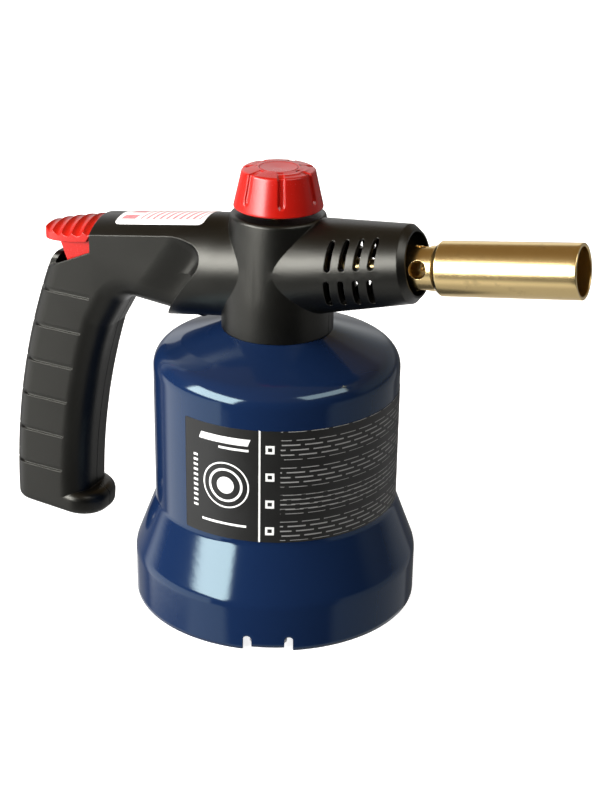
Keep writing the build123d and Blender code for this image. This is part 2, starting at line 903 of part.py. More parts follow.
# Igniter lever: scooped thumb cap, stem and hinge arm in one moulding
with BuildPart() as cap:
    with BuildSketch(burner_plane):
        with BuildLine():
            cap_start = (-cap_start_x, cap_start_rise)
            cap_back = (-cap_back_x, cap_back_rise)
            cap_tip = (-cap_tip_x, cap_tip_rise)
            crown = ThreePointArc(cap_start, (-cap_crown_x, cap_crown_rise), cap_back)
            ThreePointArc(cap_back, (-cap_nose_x, cap_nose_rise), cap_tip)
            Polyline(cap_tip, (-cap_tip_x, 0), (-cap_start_x, 0), cap_start)
        make_face()
    revolve(axis=burner_axis)
    with BuildSketch(Plane.XZ):
        with BuildLine():
            cap_front = arm_end_x + lever_gap
            cap_far = cap_tip_x + overrun
            chin = on_arm(cap_front + cap_chin, cap_under_rise)
            Polyline(chin, on_arm(cap_front, cap_under_rise + cap_chin_rise),
                     on_arm(cap_front, overrun), on_arm(cap_far, overrun),
                     on_arm(cap_far, cap_under_rise), chin)
        make_face()
    extrude(amount=cap_half_width, both=True, mode=Mode.INTERSECT)
    with BuildSketch(Plane.XY.offset(lever_pivot_height)):
        with Locations((-cap_taper_x, 0)):
            Ellipse(cap_nose_length, cap_half_width)
        with Locations((-cap_taper_x / 2, 0)):
            Rectangle(cap_taper_x, cap_half_width * 2)
    extrude(amount=overrun, both=True, mode=Mode.INTERSECT)
    # Scoops run round the cap and leave a row of ridges for the thumb
    for index in range(scoop_count):
        place = scoop_pitch * (index + 0.5) / crown.length
        along = crown % place
        lift = scoop_radius - scoop_depth
        with BuildSketch(burner_plane):
            with Locations((crown @ place) + Vector(along.Y, -along.X) * lift):
                Circle(scoop_radius)
        revolve(axis=burner_axis, mode=Mode.SUBTRACT)

with BuildPart() as stem:
    with BuildSketch(Plane.XZ):
        with BuildLine():
            top_front = on_arm(stem_front_x, cap_under_rise + stem_overlap)
            top_back = on_arm(stem_back_x, cap_under_rise + scoop_depth)
            Polyline(top_front, top_back, (-stem_foot_x, stem_foot_height),
                     (-stem_front_x, stem_foot_height), top_front)
        make_face()
    extrude(amount=stem_half_width, both=True)
    fillet(edge_at(stem, -stem_back_x, -stem_half_width, pocket_lip_height), stem_round)
    fillet(edge_at(stem, -stem_back_x, stem_half_width, pocket_lip_height), stem_round)

with BuildPart() as igniter_lever:
    add(cap.part)
    add(stem.part)
    with BuildSketch(Plane.XZ):
        with BuildLine():
            arm_top = lever_pivot_height + lever_arm_rise
            arm_low = lever_pivot_height - hub_drop
            Polyline((-stem_front_x - hub_drop, arm_low), (-lever_pivot_x, arm_low),
                     (-lever_pivot_x, arm_top), (-stem_front_x - hub_drop, arm_top),
                     (-stem_front_x - hub_drop, arm_low))
        make_face()
        with Locations(pivot_place):
            Circle(hub_radius)
    extrude(amount=hub_half_width, both=True)
    with BuildSketch(Plane.XZ):
        with Locations((-piezo_x, plunger_top + boss_gap + boss_radius)):
            Circle(boss_radius)
    extrude(amount=boss_radius, both=True)
    with BuildSketch(Plane.XZ):
        with Locations(pivot_place):
            Circle(pin_radius + pin_clearance)
    extrude(amount=cap_half_width, both=True, mode=Mode.SUBTRACT)
save(igniter_lever, "igniter_lever")

with BuildPart() as lever_pin:
    with BuildSketch(Plane.XZ):
        with Locations(pivot_place):
            Circle(pin_radius)
    extrude(amount=pin_half_length, both=True)
save(lever_pin, "lever_pin")

# Piezo igniter: capsule on the lower shelf and its sprung plunger
with BuildPart() as piezo_body:
    with BuildSketch(Plane.XY.offset(lower_shelf)):
        with Locations((-piezo_x, 0)):
            Circle(piezo_radius)
    extrude(amount=piezo_top - lower_shelf)
    fillet(piezo_body.edges().sort_by(Axis.Z)[-1], stem_round)
    with BuildSketch(Plane.XY.offset(piezo_top)):
        with Locations((-piezo_x, 0)):
            Circle(plunger_radius + plunger_bore_clearance)
    extrude(amount=plunger_root - piezo_top - plunger_head * 2, mode=Mode.SUBTRACT)
save(piezo_body, "piezo_body")

with BuildPart() as piezo_plunger:
    with BuildSketch(Plane.XY.offset(plunger_root)):
        with Locations((-piezo_x, 0)):
            Circle(plunger_radius)
    extrude(amount=plunger_top - plunger_root)
    with BuildSketch(Plane.XY.offset(plunger_top)):
        with Locations((-piezo_x, 0)):
            Circle(plunger_head_radius)
    extrude(amount=-plunger_head)
save(piezo_plunger, "piezo_plunger")

# Gas valve: one turned body that carries the column and the burner
with BuildPart() as valve_body:
    with BuildSketch(Plane.XZ):
        with BuildLine():
            flange_top = dome_flat_height + flange_thickness
            Polyline((0, stub_bottom), (stub_radius, stub_bottom), (stub_radius, dome_flat_height),
                     (flange_radius, dome_flat_height), (flange_radius, flange_top),
                     (valve_radius, flange_top), (valve_radius, valve_top),
                     (valve_neck_radius, valve_top), (valve_neck_radius, valve_neck_top),
                     (0, valve_neck_top), (0, stub_bottom))
        make_face()
    revolve(axis=Axis.Z)
    with BuildSketch(across_burner(0)):
        Circle(port_radius)
    extrude(amount=port_length)
    # Spindle bore down to its seat, gas passages below it and out to the side port
    with BuildSketch(Plane.XY.offset(spindle_bottom)):
        Circle(spindle_radius + spindle_clearance)
    extrude(amount=overrun, mode=Mode.SUBTRACT)
    with BuildSketch(Plane.XZ):
        with BuildLine():
            seat_low = spindle_bottom - spindle_taper
            Polyline((0, seat_low), (gas_passage, seat_low),
                     (spindle_radius + spindle_clearance, spindle_bottom), (0, spindle_bottom),
                     (0, seat_low))
        make_face()
    revolve(axis=Axis.Z, mode=Mode.SUBTRACT)
    with BuildSketch(Plane.XY.offset(spindle_bottom)):
        Circle(gas_passage)
    extrude(amount=needle_root - spindle_bottom, mode=Mode.SUBTRACT)
    with BuildSketch(Plane.XY.offset(needle_root)):
        Circle(needle_radius + needle_clearance)
    extrude(amount=-overrun, mode=Mode.SUBTRACT)
    with BuildSketch(across_burner(spindle_radius / 2)):
        Circle(gas_passage)
    extrude(amount=port_length, mode=Mode.SUBTRACT)
    with BuildSketch(across_burner(pipe_start)):
        Circle(pipe_radius + joint_gap)
    extrude(amount=overrun, mode=Mode.SUBTRACT)
save(valve_body, "valve_body")

with BuildPart() as valve_nut:
    with BuildSketch(Plane.XY.offset(dome_flat_height - can_wall)):
        RegularPolygon(nut_across / 2, 6, major_radius=False)
        Circle(stub_radius + joint_gap, mode=Mode.SUBTRACT)
    extrude(amount=-nut_thickness)
save(valve_nut, "valve_nut")

with BuildPart() as cartridge_seal:
    with BuildSketch(Plane.XY.offset(cartridge_top)):
        Circle(seal_radius)
        Circle(needle_radius + needle_clearance, mode=Mode.SUBTRACT)
    extrude(amount=seal_thickness)
save(cartridge_seal, "cartridge_seal")

with BuildPart() as piercing_needle:
    with BuildSketch(Plane.XZ):
        with BuildLine():
            Polyline((0, needle_tip), (needle_radius, needle_tip + needle_cone),
                     (needle_radius, needle_root), (0, needle_root), (0, needle_tip))
        make_face()
    revolve(axis=Axis.Z)
    with BuildSketch(Plane.XY.offset(needle_root)):
        Circle(gas_passage / 2)
    extrude(amount=needle_tip + needle_cone - needle_root, mode=Mode.SUBTRACT)
save(piercing_needle, "piercing_needle")

# Spindle: a needle point on its seat, two grooves for the seals, a hole for the knob's screw
oring_places = [oring_first + oring_pitch * index for index in range(oring_count)]
with BuildPart() as valve_spindle:
    with BuildSketch(Plane.XZ):
        with BuildLine():
            Polyline((0, spindle_bottom - spindle_taper), (gas_passage / 2, spindle_bottom - spindle_taper),
                     (spindle_radius, spindle_bottom), (spindle_radius, spindle_top),
                     (0, spindle_top), (0, spindle_bottom - spindle_taper))
        make_face()
    revolve(axis=Axis.Z)
    with BuildSketch(Plane.XZ):
        for place in oring_places:
            with Locations((spindle_radius, place)):
                Rectangle(oring_section * 2, oring_section)
    revolve(axis=Axis.Z, mode=Mode.SUBTRACT)
    with BuildSketch(Plane.XY.offset(spindle_top)):
        Circle(knob_screw_radius)
    extrude(amount=-knob_screw_length, mode=Mode.SUBTRACT)
save(valve_spindle, "valve_spindle")

with BuildPart() as spindle_orings:
    with BuildSketch(Plane.XZ):
        for place in oring_places:
            with Locations((spindle_radius - oring_section / 2, place)):
                Circle(oring_section / 2)
    revolve(axis=Axis.Z)
save(spindle_orings, "spindle_orings")

with BuildPart() as gland_nut:
    with BuildSketch(Plane.XY.offset(gland_bottom)):
        RegularPolygon(gland_across / 2, 6, major_radius=False)
    extrude(amount=gland_thickness)
    with BuildSketch(Plane.XY.offset(gland_bottom)):
        Circle(valve_neck_radius + joint_gap)
    extrude(amount=valve_neck_top - gland_bottom, mode=Mode.SUBTRACT)
    with BuildSketch(Plane.XY.offset(gland_bottom)):
        Circle(spindle_radius + spindle_clearance)
    extrude(amount=overrun, mode=Mode.SUBTRACT)
save(gland_nut, "gland_nut")

# Control knob: tapered crown with flutes, hollow below, on the spindle's round end
with BuildPart() as control_knob:
    with BuildSketch(Plane.XZ) as crown:
        with BuildLine():
            Polyline((0, knob_bottom), (knob_radius, knob_bottom), (knob_rim_radius, knob_rim_height),
                     (knob_dish_radius, knob_top_height), (0, knob_top_height), (0, knob_bottom))
        make_face()
        fillet(corner_at(crown, knob_rim_radius, knob_rim_height), knob_corner)
    revolve(axis=Axis.Z)
    with BuildSketch(Plane.XZ):
        with BuildLine():
            draft = (knob_radius - knob_rim_radius) / (knob_rim_height - knob_bottom)
            roof = knob_rim_height - knob_wall
            roof_radius = knob_radius - knob_wall - draft * (roof - knob_bottom)
            Polyline((knob_boss_radius, knob_bottom), (knob_radius - knob_wall, knob_bottom),
                     (roof_radius, roof), (knob_boss_radius, roof), (knob_boss_radius, knob_bottom))
        make_face()
    revolve(axis=Axis.Z, mode=Mode.SUBTRACT)
    # Each flute is cut parallel to the sloping side and runs out through the top rim
    for index in range(flute_count):
        turn = flute_first_azimuth + index * 360 / flute_count
        with BuildSketch(Plane.XZ.rotated((0, 0, turn - 90))):
            with BuildLine():
                foot_in = knob_radius - draft * (flute_bottom - knob_bottom) - flute_depth
                top_in = foot_in - draft * (knob_top_height - flute_bottom)
                Polyline((foot_in, flute_bottom), (foot_in + overrun, flute_bottom),
                         (foot_in + overrun, knob_top_height), (top_in, knob_top_height),
                         (foot_in, flute_bottom))
            make_face()
        extrude(amount=flute_width / 2, both=True, mode=Mode.SUBTRACT)
    with BuildSketch(Plane.XY.offset(knob_top_height)):
        Circle(knob_cap_radius + knob_fit)
    extrude(amount=-knob_cap_thickness, mode=Mode.SUBTRACT)
    with BuildSketch(Plane.XY.offset(knob_top_height)):
        Circle(knob_recess_radius)
    extrude(amount=spindle_top - knob_top_height, mode=Mode.SUBTRACT)
    with BuildSketch(Plane.XY.offset(spindle_top)):
        Circle(spindle_radius + spindle_clearance)
    extrude(amount=-overrun, mode=Mode.SUBTRACT)
save(control_knob, "control_knob")

with BuildPart() as knob_cap:
    with BuildSketch(Plane.XY.offset(knob_top_height - knob_cap_thickness)):
        Circle(knob_cap_radius)
    extrude(amount=knob_cap_thickness)
    with BuildSketch(Plane.XZ):
        with BuildLine():
            low = knob_top_height - knob_cap_dish
            Polyline((0, low), (0, knob_top_height), (knob_cap_radius - knob_cap_dish, knob_top_height),
                     (0, low))
        make_face()
    revolve(axis=Axis.Z, mode=Mode.SUBTRACT)
save(knob_cap, "knob_cap")

with BuildPart() as knob_screw:
    with BuildSketch(Plane.XY.offset(spindle_top)):
        Circle(knob_screw_head)
    extrude(amount=knob_screw_head_height)
    with BuildSketch(Plane.XY.offset(spindle_top)):
        Circle(knob_screw_radius)
    extrude(amount=-knob_screw_length)
    with BuildSketch(Plane.XY.offset(spindle_top + knob_screw_head_height)):
        Rectangle(knob_screw_head * 2, screw_slot_width)
    extrude(amount=-screw_slot_depth, mode=Mode.SUBTRACT)
save(knob_screw, "knob_screw")

# Burner: gas pipe with its head, jet, neck with air holes, outer tube and flame disc
with BuildPart() as gas_pipe:
    with BuildSketch(burner_plane):
        with BuildLine():
            Polyline((pipe_start, 0), (pipe_start, pipe_radius), (pipe_waist_start, pipe_radius),
                     (pipe_waist_start, pipe_waist_radius), (pipe_head_start, pipe_waist_radius),
                     (pipe_head_start, pipe_head_radius), (pipe_head_end, pipe_head_radius),
                     (pipe_head_end, 0), (pipe_start, 0))
        make_face()
    revolve(axis=burner_axis)
    with BuildSketch(across_burner(pipe_start)):
        Circle(pipe_bore)
    extrude(amount=overrun * 2, mode=Mode.SUBTRACT)
    with BuildSketch(across_burner(pipe_head_start)):
        with Locations((insulator_offset, 0)):
            Circle(insulator_radius + insulator_clearance)
    extrude(amount=pipe_head_end - pipe_head_start, mode=Mode.SUBTRACT)
save(gas_pipe, "gas_pipe")

with BuildPart() as jet:
    with BuildSketch(across_burner(pipe_head_end)):
        RegularPolygon(jet_hex / 2, 6, major_radius=False)
    extrude(amount=jet_length - jet_tip_length)
    with BuildSketch(across_burner(pipe_head_end)):
        Circle(pipe_bore - joint_gap)
    extrude(amount=-jet_shank)
    with BuildSketch(across_burner(pipe_head_end + jet_length - jet_tip_length)):
        Circle(jet_tip_radius)
    extrude(amount=jet_tip_length)
    with BuildSketch(across_burner(pipe_head_end - jet_shank)):
        Circle(jet_bore)
    extrude(amount=overrun, mode=Mode.SUBTRACT)
    with BuildSketch(across_burner(pipe_head_end + jet_length)):
        Rectangle(jet_hex, jet_slot)
    extrude(amount=-jet_slot_depth, mode=Mode.SUBTRACT)
save(jet, "jet")

with BuildPart() as burner_neck:
    with BuildSketch(burner_plane):
        with BuildLine():
            Polyline((neck_start, 0), (neck_start, neck_radius), (neck_end, neck_radius),
                     (neck_end, spigot_radius), (spigot_end, spigot_radius), (spigot_end, 0),
                     (neck_start, 0))
        make_face()
    revolve(axis=burner_axis)
    with BuildSketch(across_burner(neck_start)):
        Circle(neck_bore)
    extrude(amount=overrun, mode=Mode.SUBTRACT)
    for index in range(air_hole_count):
        turn = air_hole_turn + index * 360 / air_hole_count
        hole_centre = across_burner(air_hole_place)
        outward = (hole_centre.x_dir * -math.cos(turn * to_radians)
                   + hole_centre.y_dir * math.sin(turn * to_radians))
        with BuildSketch(Plane(origin=hole_centre.origin, x_dir=hole_centre.z_dir, z_dir=outward)):
            Circle(air_hole_radius)
        extrude(amount=overrun, mode=Mode.SUBTRACT)
save(burner_neck, "burner_neck")

with BuildPart() as burner_tube:
    with BuildSketch(burner_plane):
        with BuildLine():
            socket = spigot_radius + joint_gap
            Polyline((neck_end, socket), (neck_end, neck_radius), (tube_shoulder_end, tube_radius),
                     (tube_end, tube_radius), (tube_end, tube_bore),
                     (tube_shoulder_end + tube_back_wall, tube_bore),
                     (tube_shoulder_end + tube_back_wall, socket), (neck_end, socket))
        make_face()
    revolve(axis=burner_axis)
save(burner_tube, "burner_tube")

with BuildPart() as flame_disc:
    with BuildSketch(across_burner(flame_disc_place)):
        Circle(tube_bore - joint_gap)
        Circle(flame_centre_hole, mode=Mode.SUBTRACT)
        with PolarLocations(flame_hole_circle, flame_hole_count):
            Circle(flame_hole_radius, mode=Mode.SUBTRACT)
    extrude(amount=flame_disc_thickness)
save(flame_disc, "flame_disc")

# Spark electrode in its ceramic sleeve, and the lead that feeds it from the igniter
with BuildPart() as electrode_insulator:
    with BuildSketch(across_burner(insulator_start)):
        with Locations((insulator_offset, 0)):
            Circle(insulator_radius)
            Circle(electrode_radius + insulator_clearance, mode=Mode.SUBTRACT)
    extrude(amount=insulator_end - insulator_start)
save(electrode_insulator, "electrode_insulator")

with BuildPart() as spark_electrode:
    with BuildSketch(across_burner(insulator_start)):
        with Locations((insulator_offset, 0)):
            Circle(electrode_radius)
    extrude(amount=electrode_end - insulator_start)
save(spark_electrode, "spark_electrode")

lead_end = across_burner(insulator_start - joint_gap).origin
with BuildPart() as ignition_lead:
    with BuildLine() as route:
        lead_start_x = piezo_radius + joint_gap - piezo_x
        FilletPolyline(
            (lead_start_x, 0, lead_exit_height),
            (-lead_rise_x, 0, lead_exit_height),
            (-lead_rise_x, 0, upper_shelf + rib_wall + lead_bend + lead_radius),
            *lead_route,
            (lead_end.X, insulator_offset, lead_end.Z),
            radius=lead_bend)
    with BuildSketch(Plane(origin=route.line @ 0, z_dir=route.line % 0)):
        Circle(lead_radius)
    sweep()
save(ignition_lead, "ignition_lead")

# Graphic panels: a wrap round the canister housing and a badge along the top of the arm
with BuildPart() as canister_label:
    with BuildSketch(Plane.XZ.rotated((0, 0, label_start_azimuth - 90))):
        label_middle = can_radius + panel_gap + label_thickness / 2
        with Locations((label_middle, (label_low + label_high) / 2)):
            Rectangle(label_thickness, label_high - label_low)
    revolve(axis=Axis.Z, revolution_arc=label_end_azimuth - label_start_azimuth)
    corners = canister_label.edges().filter_by(lambda edge: edge.length < label_thickness * 2)
    fillet(corners, label_corner)
save(canister_label, "canister_label")

badge_up = across_burner(0).y_dir
badge_side = across_burner(0).x_dir
badge_edge = (badge_up * math.cos(badge_spread * to_radians)
              - badge_side * math.sin(badge_spread * to_radians))
badge_plane = Plane(origin=burner_plane.origin, x_dir=burner_plane.x_dir,
                    z_dir=burner_plane.x_dir.cross(badge_edge))
with BuildPart() as arm_badge:
    with BuildSketch(badge_plane):
        badge_middle = arm_radius + panel_gap + badge_thickness / 2
        with Locations((-(badge_front + badge_back) / 2, badge_middle)):
            Rectangle(badge_back - badge_front, badge_thickness)
    revolve(axis=burner_axis, revolution_arc=-badge_spread * 2)
    corners = arm_badge.edges().filter_by(lambda edge: edge.length < badge_thickness * 2)
    fillet(corners, label_corner)
save(arm_badge, "arm_badge")
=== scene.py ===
"""Finished surfaces of a gas blow lamp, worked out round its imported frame."""

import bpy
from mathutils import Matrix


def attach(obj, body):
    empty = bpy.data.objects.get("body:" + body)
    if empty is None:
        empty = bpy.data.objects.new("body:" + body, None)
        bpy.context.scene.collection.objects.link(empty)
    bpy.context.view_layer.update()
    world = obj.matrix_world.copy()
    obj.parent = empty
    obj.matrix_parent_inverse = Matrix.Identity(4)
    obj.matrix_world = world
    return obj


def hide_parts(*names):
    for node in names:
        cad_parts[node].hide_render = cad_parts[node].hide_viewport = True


bl_info = {
    "name": "Blow lamp builder",
    "version": (1, 0, 0),
    "blender": (4, 5, 0),
    "location": "3D View > Sidebar > Blow lamp",
    "description": "Builds the finished surfaces of a gas blow lamp round its frame",
    "category": "Object",
}

import math

import bmesh
import bpy
import numpy as np
from bpy.props import FloatProperty, FloatVectorProperty, IntProperty, PointerProperty
from mathutils import Matrix, Vector

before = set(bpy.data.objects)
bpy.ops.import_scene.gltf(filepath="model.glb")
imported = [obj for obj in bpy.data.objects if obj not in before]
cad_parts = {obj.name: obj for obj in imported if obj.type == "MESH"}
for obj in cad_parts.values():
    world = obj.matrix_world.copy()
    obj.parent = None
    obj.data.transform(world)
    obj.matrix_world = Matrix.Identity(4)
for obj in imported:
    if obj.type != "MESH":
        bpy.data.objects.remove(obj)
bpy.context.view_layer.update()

MM = 0.001
BURNER_PITCH = math.radians(7.8)
BURNER_HEIGHT = 133.6 * MM
TONGUE_EDGE = 1.4 * MM
KNOB_TOP = 171.4 * MM
KNOB_DISH_DEPTH = 0.9 * MM
FILM = 0.08 * MM
PANEL_UV = "panel"
WHITE = (1.0, 1.0, 1.0, 1)


# Sizes, colours and lights that a user would change
class BlowLampSizes(bpy.types.PropertyGroup):
    canister_radius: FloatProperty(
        name="Canister radius", description="Outside radius of the straight wall",
        default=47.3 * MM, unit="LENGTH")
    rim_radius: FloatProperty(
        name="Rim radius", description="Outside radius of the base rim",
        default=55.5 * MM, unit="LENGTH")
    rim_height: FloatProperty(
        name="Rim height", description="Height of the corner between rim and flare",
        default=18.5 * MM, unit="LENGTH")
    sheet: FloatProperty(
        name="Sheet", description="Thickness of the canister's steel",
        default=0.8 * MM, unit="LENGTH")
    notch_azimuth: FloatProperty(
        name="Notch azimuth", description="Direction of the tongue, from -Y towards +X",
        default=math.radians(23.0), subtype="ANGLE")
    knob_radius: FloatProperty(
        name="Knob radius", description="Radius of the knob's lower edge",
        default=16.9 * MM, unit="LENGTH")
    flute_count: IntProperty(
        name="Flutes", description="Grip flutes round the knob", default=7, min=3, max=24)
    tube_radius: FloatProperty(
        name="Tube radius", description="Outside radius of the burner tube",
        default=10.0 * MM, unit="LENGTH")
    edge_round: FloatProperty(
        name="Moulded edge", description="Radius that the moulded body's edges are shaded with",
        default=0.52 * MM, unit="LENGTH")


class BlowLampColours(bpy.types.PropertyGroup):
    paint: FloatVectorProperty(
        name="Paint", description="Gloss paint of the canister", subtype="COLOR",
        default=(0.0050, 0.0146, 0.0490), min=0, max=1)
    moulding: FloatVectorProperty(
        name="Moulding", description="Grained plastic of the body", subtype="COLOR",
        default=(0.0016, 0.0016, 0.0014), min=0, max=1)
    control: FloatVectorProperty(
        name="Controls", description="Gloss plastic of knob and lever", subtype="COLOR",
        default=(0.41, 0.0070, 0.0030), min=0, max=1)
    brass: FloatVectorProperty(
        name="Brass", description="Turned brass of the burner", subtype="COLOR",
        default=(0.84, 0.63, 0.30), min=0, max=1)
    panel: FloatVectorProperty(
        name="Panel", description="Ground of the wrap-round panel", subtype="COLOR",
        default=(0.0060, 0.0060, 0.0055), min=0, max=1)


class BlowLampStudio(bpy.types.PropertyGroup):
    key_strength: FloatProperty(
        name="Key light", description="Radiance of the front left patch of sky", default=17.0)
    strip_strength: FloatProperty(
        name="Strip light", description="Radiance of the high right patch of sky", default=5.5)
    fill_power: FloatProperty(
        name="Fill light", description="Power of the low left fill light in watts", default=30.0)
    top_power: FloatProperty(
        name="Top light", description="Power of the overhead light in watts", default=0.5)


# Shader sums: a socket that can stand in a Python expression
class Wire:
    def __init__(self, shading, socket):
        self.shading = shading
        self.socket = socket

    def _math(self, operation, *values):
        return self.shading.node("ShaderNodeMath", {"operation": operation}, *values)

    def __add__(self, other):
        return self._math("ADD", self, other)

    __radd__ = __add__

    def __sub__(self, other):
        return self._math("SUBTRACT", self, other)

    def __rsub__(self, other):
        return self._math("SUBTRACT", other, self)

    def __mul__(self, other):
        return self._math("MULTIPLY", self, other)

    __rmul__ = __mul__

    def __truediv__(self, other):
        return self._math("DIVIDE", self, other)

    def __gt__(self, other):
        return self._math("GREATER_THAN", self, other)

    def __lt__(self, other):
        return self._math("LESS_THAN", self, other)

    def absolute(self):
        return self._math("ABSOLUTE", self)

    def greater(self, other):
        return self._math("MAXIMUM", self, other)

    def fraction(self):
        return self._math("FRACT", self)

    def clamped(self):
        return self.shading.node("ShaderNodeClamp", {}, self)

    def ramp(self, low, high, start=0.0, end=1.0):
        """Smooth step from start to end while the value goes from low to high."""
        return self.shading.node(
            "ShaderNodeMapRange", {"interpolation_type": "SMOOTHSTEP"}, self, low, high, start, end)


def socket_name(name):
    return name.replace("_", " ")


class Shading:
    """A node tree; what it's asked for comes back as a Wire."""

    def __init__(self, tree):
        self.tree = tree

    def node(self, kind, settings, *values, output=0, **named):
        """Node of a kind with its settings, then its sockets' values or links in order or by name."""
        made = self.tree.nodes.new(kind)
        for key, value in settings.items():
            setattr(made, key, value)
        places = [(made.inputs[i], value) for i, value in enumerate(values)]
        places += [(made.inputs[socket_name(key)], value) for key, value in named.items()]
        for socket, value in places:
            self.give(socket, value)
        return Wire(self, made.outputs[output])

    def give(self, socket, value):
        """Links a Wire to a socket, or sets the socket to a value other than None."""
        if isinstance(value, Wire):
            self.tree.links.new(value.socket, socket)
        elif value is not None:
            socket.default_value = value

    def parts(self, vector, count=3):
        """The first numbers of a vector."""
        return [self.node("ShaderNodeSeparateXYZ", {}, vector, output=i) for i in range(count)]

    def place(self, turn=0.0):
        """Object coordinates turned about Y, and their three numbers."""
        spot = self.node("ShaderNodeTexCoord", {}, output="Object")
        spot = self.node("ShaderNodeMapping", {}, spot, Rotation=(0, turn, 0))
        return spot, self.parts(spot)

    def noise(self, spot, scale, detail=3.0, roughness=0.5):
        return self.node("ShaderNodeTexNoise", {}, Vector=spot, Scale=scale, Detail=detail,
                         Roughness=roughness)

    def blend(self, factor, first, second):
        """Colour between first and second."""
        mixed = self.node("ShaderNodeMix", {"data_type": "RGBA"}, output="Result")
        node = mixed.socket.node
        colours = [s for s in node.inputs if s.type == "RGBA"]
        factors = [s for s in node.inputs if s.name == "Factor" and s.type == "VALUE"]
        for socket, value in ((factors[0], factor), (colours[0], first), (colours[1], second)):
            self.give(socket, value)
        result = [s for s in node.outputs if s.type == "RGBA"][0]
        return Wire(self, result)


class Finish(Shading):
    """A material's node tree with its surface shader."""

    def __init__(self, name, **constants):
        self.material = bpy.data.materials.new(name)
        self.material.use_nodes = True
        super().__init__(self.material.node_tree)
        self.shader = self.tree.nodes["Principled BSDF"]
        self.feed(**constants)

    def feed(self, **values):
        for name, value in values.items():
            self.give(self.shader.inputs[socket_name(name)], value)

    def panel_place(self):
        """Places along and up a film, in units of its height."""
        return self.parts(self.node("ShaderNodeUVMap", {"uv_map": PANEL_UV}), 2)

    def rounded(self, edge):
        """Normal that shades edges as if they were rounded by a radius."""
        return self.node("ShaderNodeBevel", {"samples": 6}, edge)

    def bumps(self, height, strength, distance, normal=None):
        """Normal of bumps, height times distance high, on top of another normal."""
        return self.node("ShaderNodeBump", {}, Strength=strength, Distance=distance,
                         Height=height, Normal=normal)

    def relief(self, height, strength, distance, normal=None):
        """Feeds such a normal to the surface, and gives back the finished material."""
        self.feed(Normal=self.bumps(height, strength, distance, normal))
        return self.material


def rgba(colour, share=1.0):
    return tuple(c * share for c in colour) + (1.0,)


# Finishes
def gloss_paint(colours):
    """Stoved gloss enamel: faint orange peel, a slight drift in depth, rubbed lower edge."""
    finish = Finish("gloss_paint", Specular_Tint=(0.72, 0.96, 1.0, 1))
    primer, dust = (0.10, 0.13, 0.22, 1), (0.25, 0.28, 0.36, 1)
    spot, (_, _, z) = finish.place()
    drift = finish.noise(spot, 22.0, 2.0)
    speck = finish.noise(spot, 900.0, 4.0, 0.7)
    colour = finish.blend(drift, rgba(colours.paint, 0.88), rgba(colours.paint, 1.12))
    rubbed = z.ramp(0.6 * MM, 0.0) * speck.ramp(0.50, 0.62)
    colour = finish.blend(rubbed, colour, primer)
    dusty = speck.ramp(0.74, 0.80) * 0.10
    finish.feed(Base_Color=finish.blend(dusty, colour, dust),
                Roughness=drift * 0.03 + speck * 0.02 + 0.07)
    peel = finish.noise(spot, 420.0, 2.0)
    return finish.relief(peel, 0.035, 0.4 * MM)


def grained_plastic(name, colour, roughness, edge=None, dished=False):
    """Spark-grained moulded plastic: fine even bumps, sheen that drifts a little.

    A dished one dips towards the nose of the arm's flat panels, and not on the grip: its height
    falls by 2.4 mm as the distance to the nose's slanting edge goes from 16 mm to 1 mm.
    """
    finish = Finish(name, Specular_Tint=(1.0, 0.98, 0.88, 1))
    spot, (x, _, z) = finish.place()
    cloud = finish.noise(spot, 45.0, 3.0)
    grain = finish.noise(spot, 2300.0, 3.0, 0.6)
    finish.feed(Base_Color=finish.blend(cloud, rgba(colour, 0.80), rgba(colour, 1.25)),
                Roughness=cloud * 0.10 + grain * 0.10 + (roughness - 0.10))
    normal = finish.rounded(edge) if edge else None
    if dished:
        nose_x, nose_z, nose_cosine, nose_sine = -28.6 * MM, 129.8 * MM, 0.819, 0.573
        past_nose = (x - nose_x) * nose_cosine - (z - nose_z) * nose_sine
        clear_of_grip = x.ramp(-78 * MM, -68 * MM)
        dip = past_nose.ramp(-16 * MM, -1 * MM) * clear_of_grip * (-2.4 * MM)
        normal = finish.bumps(dip, 1.0, 1.0, normal)
    return finish.relief(grain, 0.40, 0.10 * MM, normal)


def gloss_plastic(colours):
    """Gloss injection moulding: clear surface, faint flow marks, small scuffs."""
    finish = Finish("control_plastic", Specular_IOR_Level=0.48)
    spot, _ = finish.place()
    flow = finish.noise(spot, 70.0, 2.0)
    scuff = finish.noise(spot, 1500.0, 3.0, 0.7)
    colour = finish.blend(flow, rgba(colours.control, 0.90), rgba(colours.control, 1.10))
    finish.feed(Base_Color=colour, Roughness=flow * 0.05 + scuff.ramp(0.5, 0.7) * 0.03 + 0.22)
    ripple = finish.noise(spot, 500.0, 2.0)
    return finish.relief(ripple, 0.04, 0.05 * MM, finish.rounded(0.5 * MM))


def turned_metal(name, colour, roughness):
    """Metal turned in a lathe: fine rings square to the burner axis, slight tarnish."""
    finish = Finish(name, Metallic=1.0)
    spot, (along, _, _) = finish.place(BURNER_PITCH)
    rings = finish.node("ShaderNodeTexNoise", {"noise_dimensions": "1D"}, W=along * 5200.0,
                        Scale=1.0, Detail=2.0)
    cloud = finish.noise(spot, 60.0, 4.0)
    stain = finish.noise(spot, 240.0, 4.0, 0.65).ramp(0.56, 0.72)
    clean = finish.blend(cloud, rgba(colour, 0.93), rgba(colour, 1.07))
    finish.feed(Base_Color=finish.blend(stain * 0.35, clean, rgba(colour, 0.62)),
                Roughness=rings * 0.04 + cloud * 0.03 + stain * 0.02 + (roughness - 0.04))
    return finish.relief(rings, 0.06, 0.03 * MM, finish.rounded(0.2 * MM))


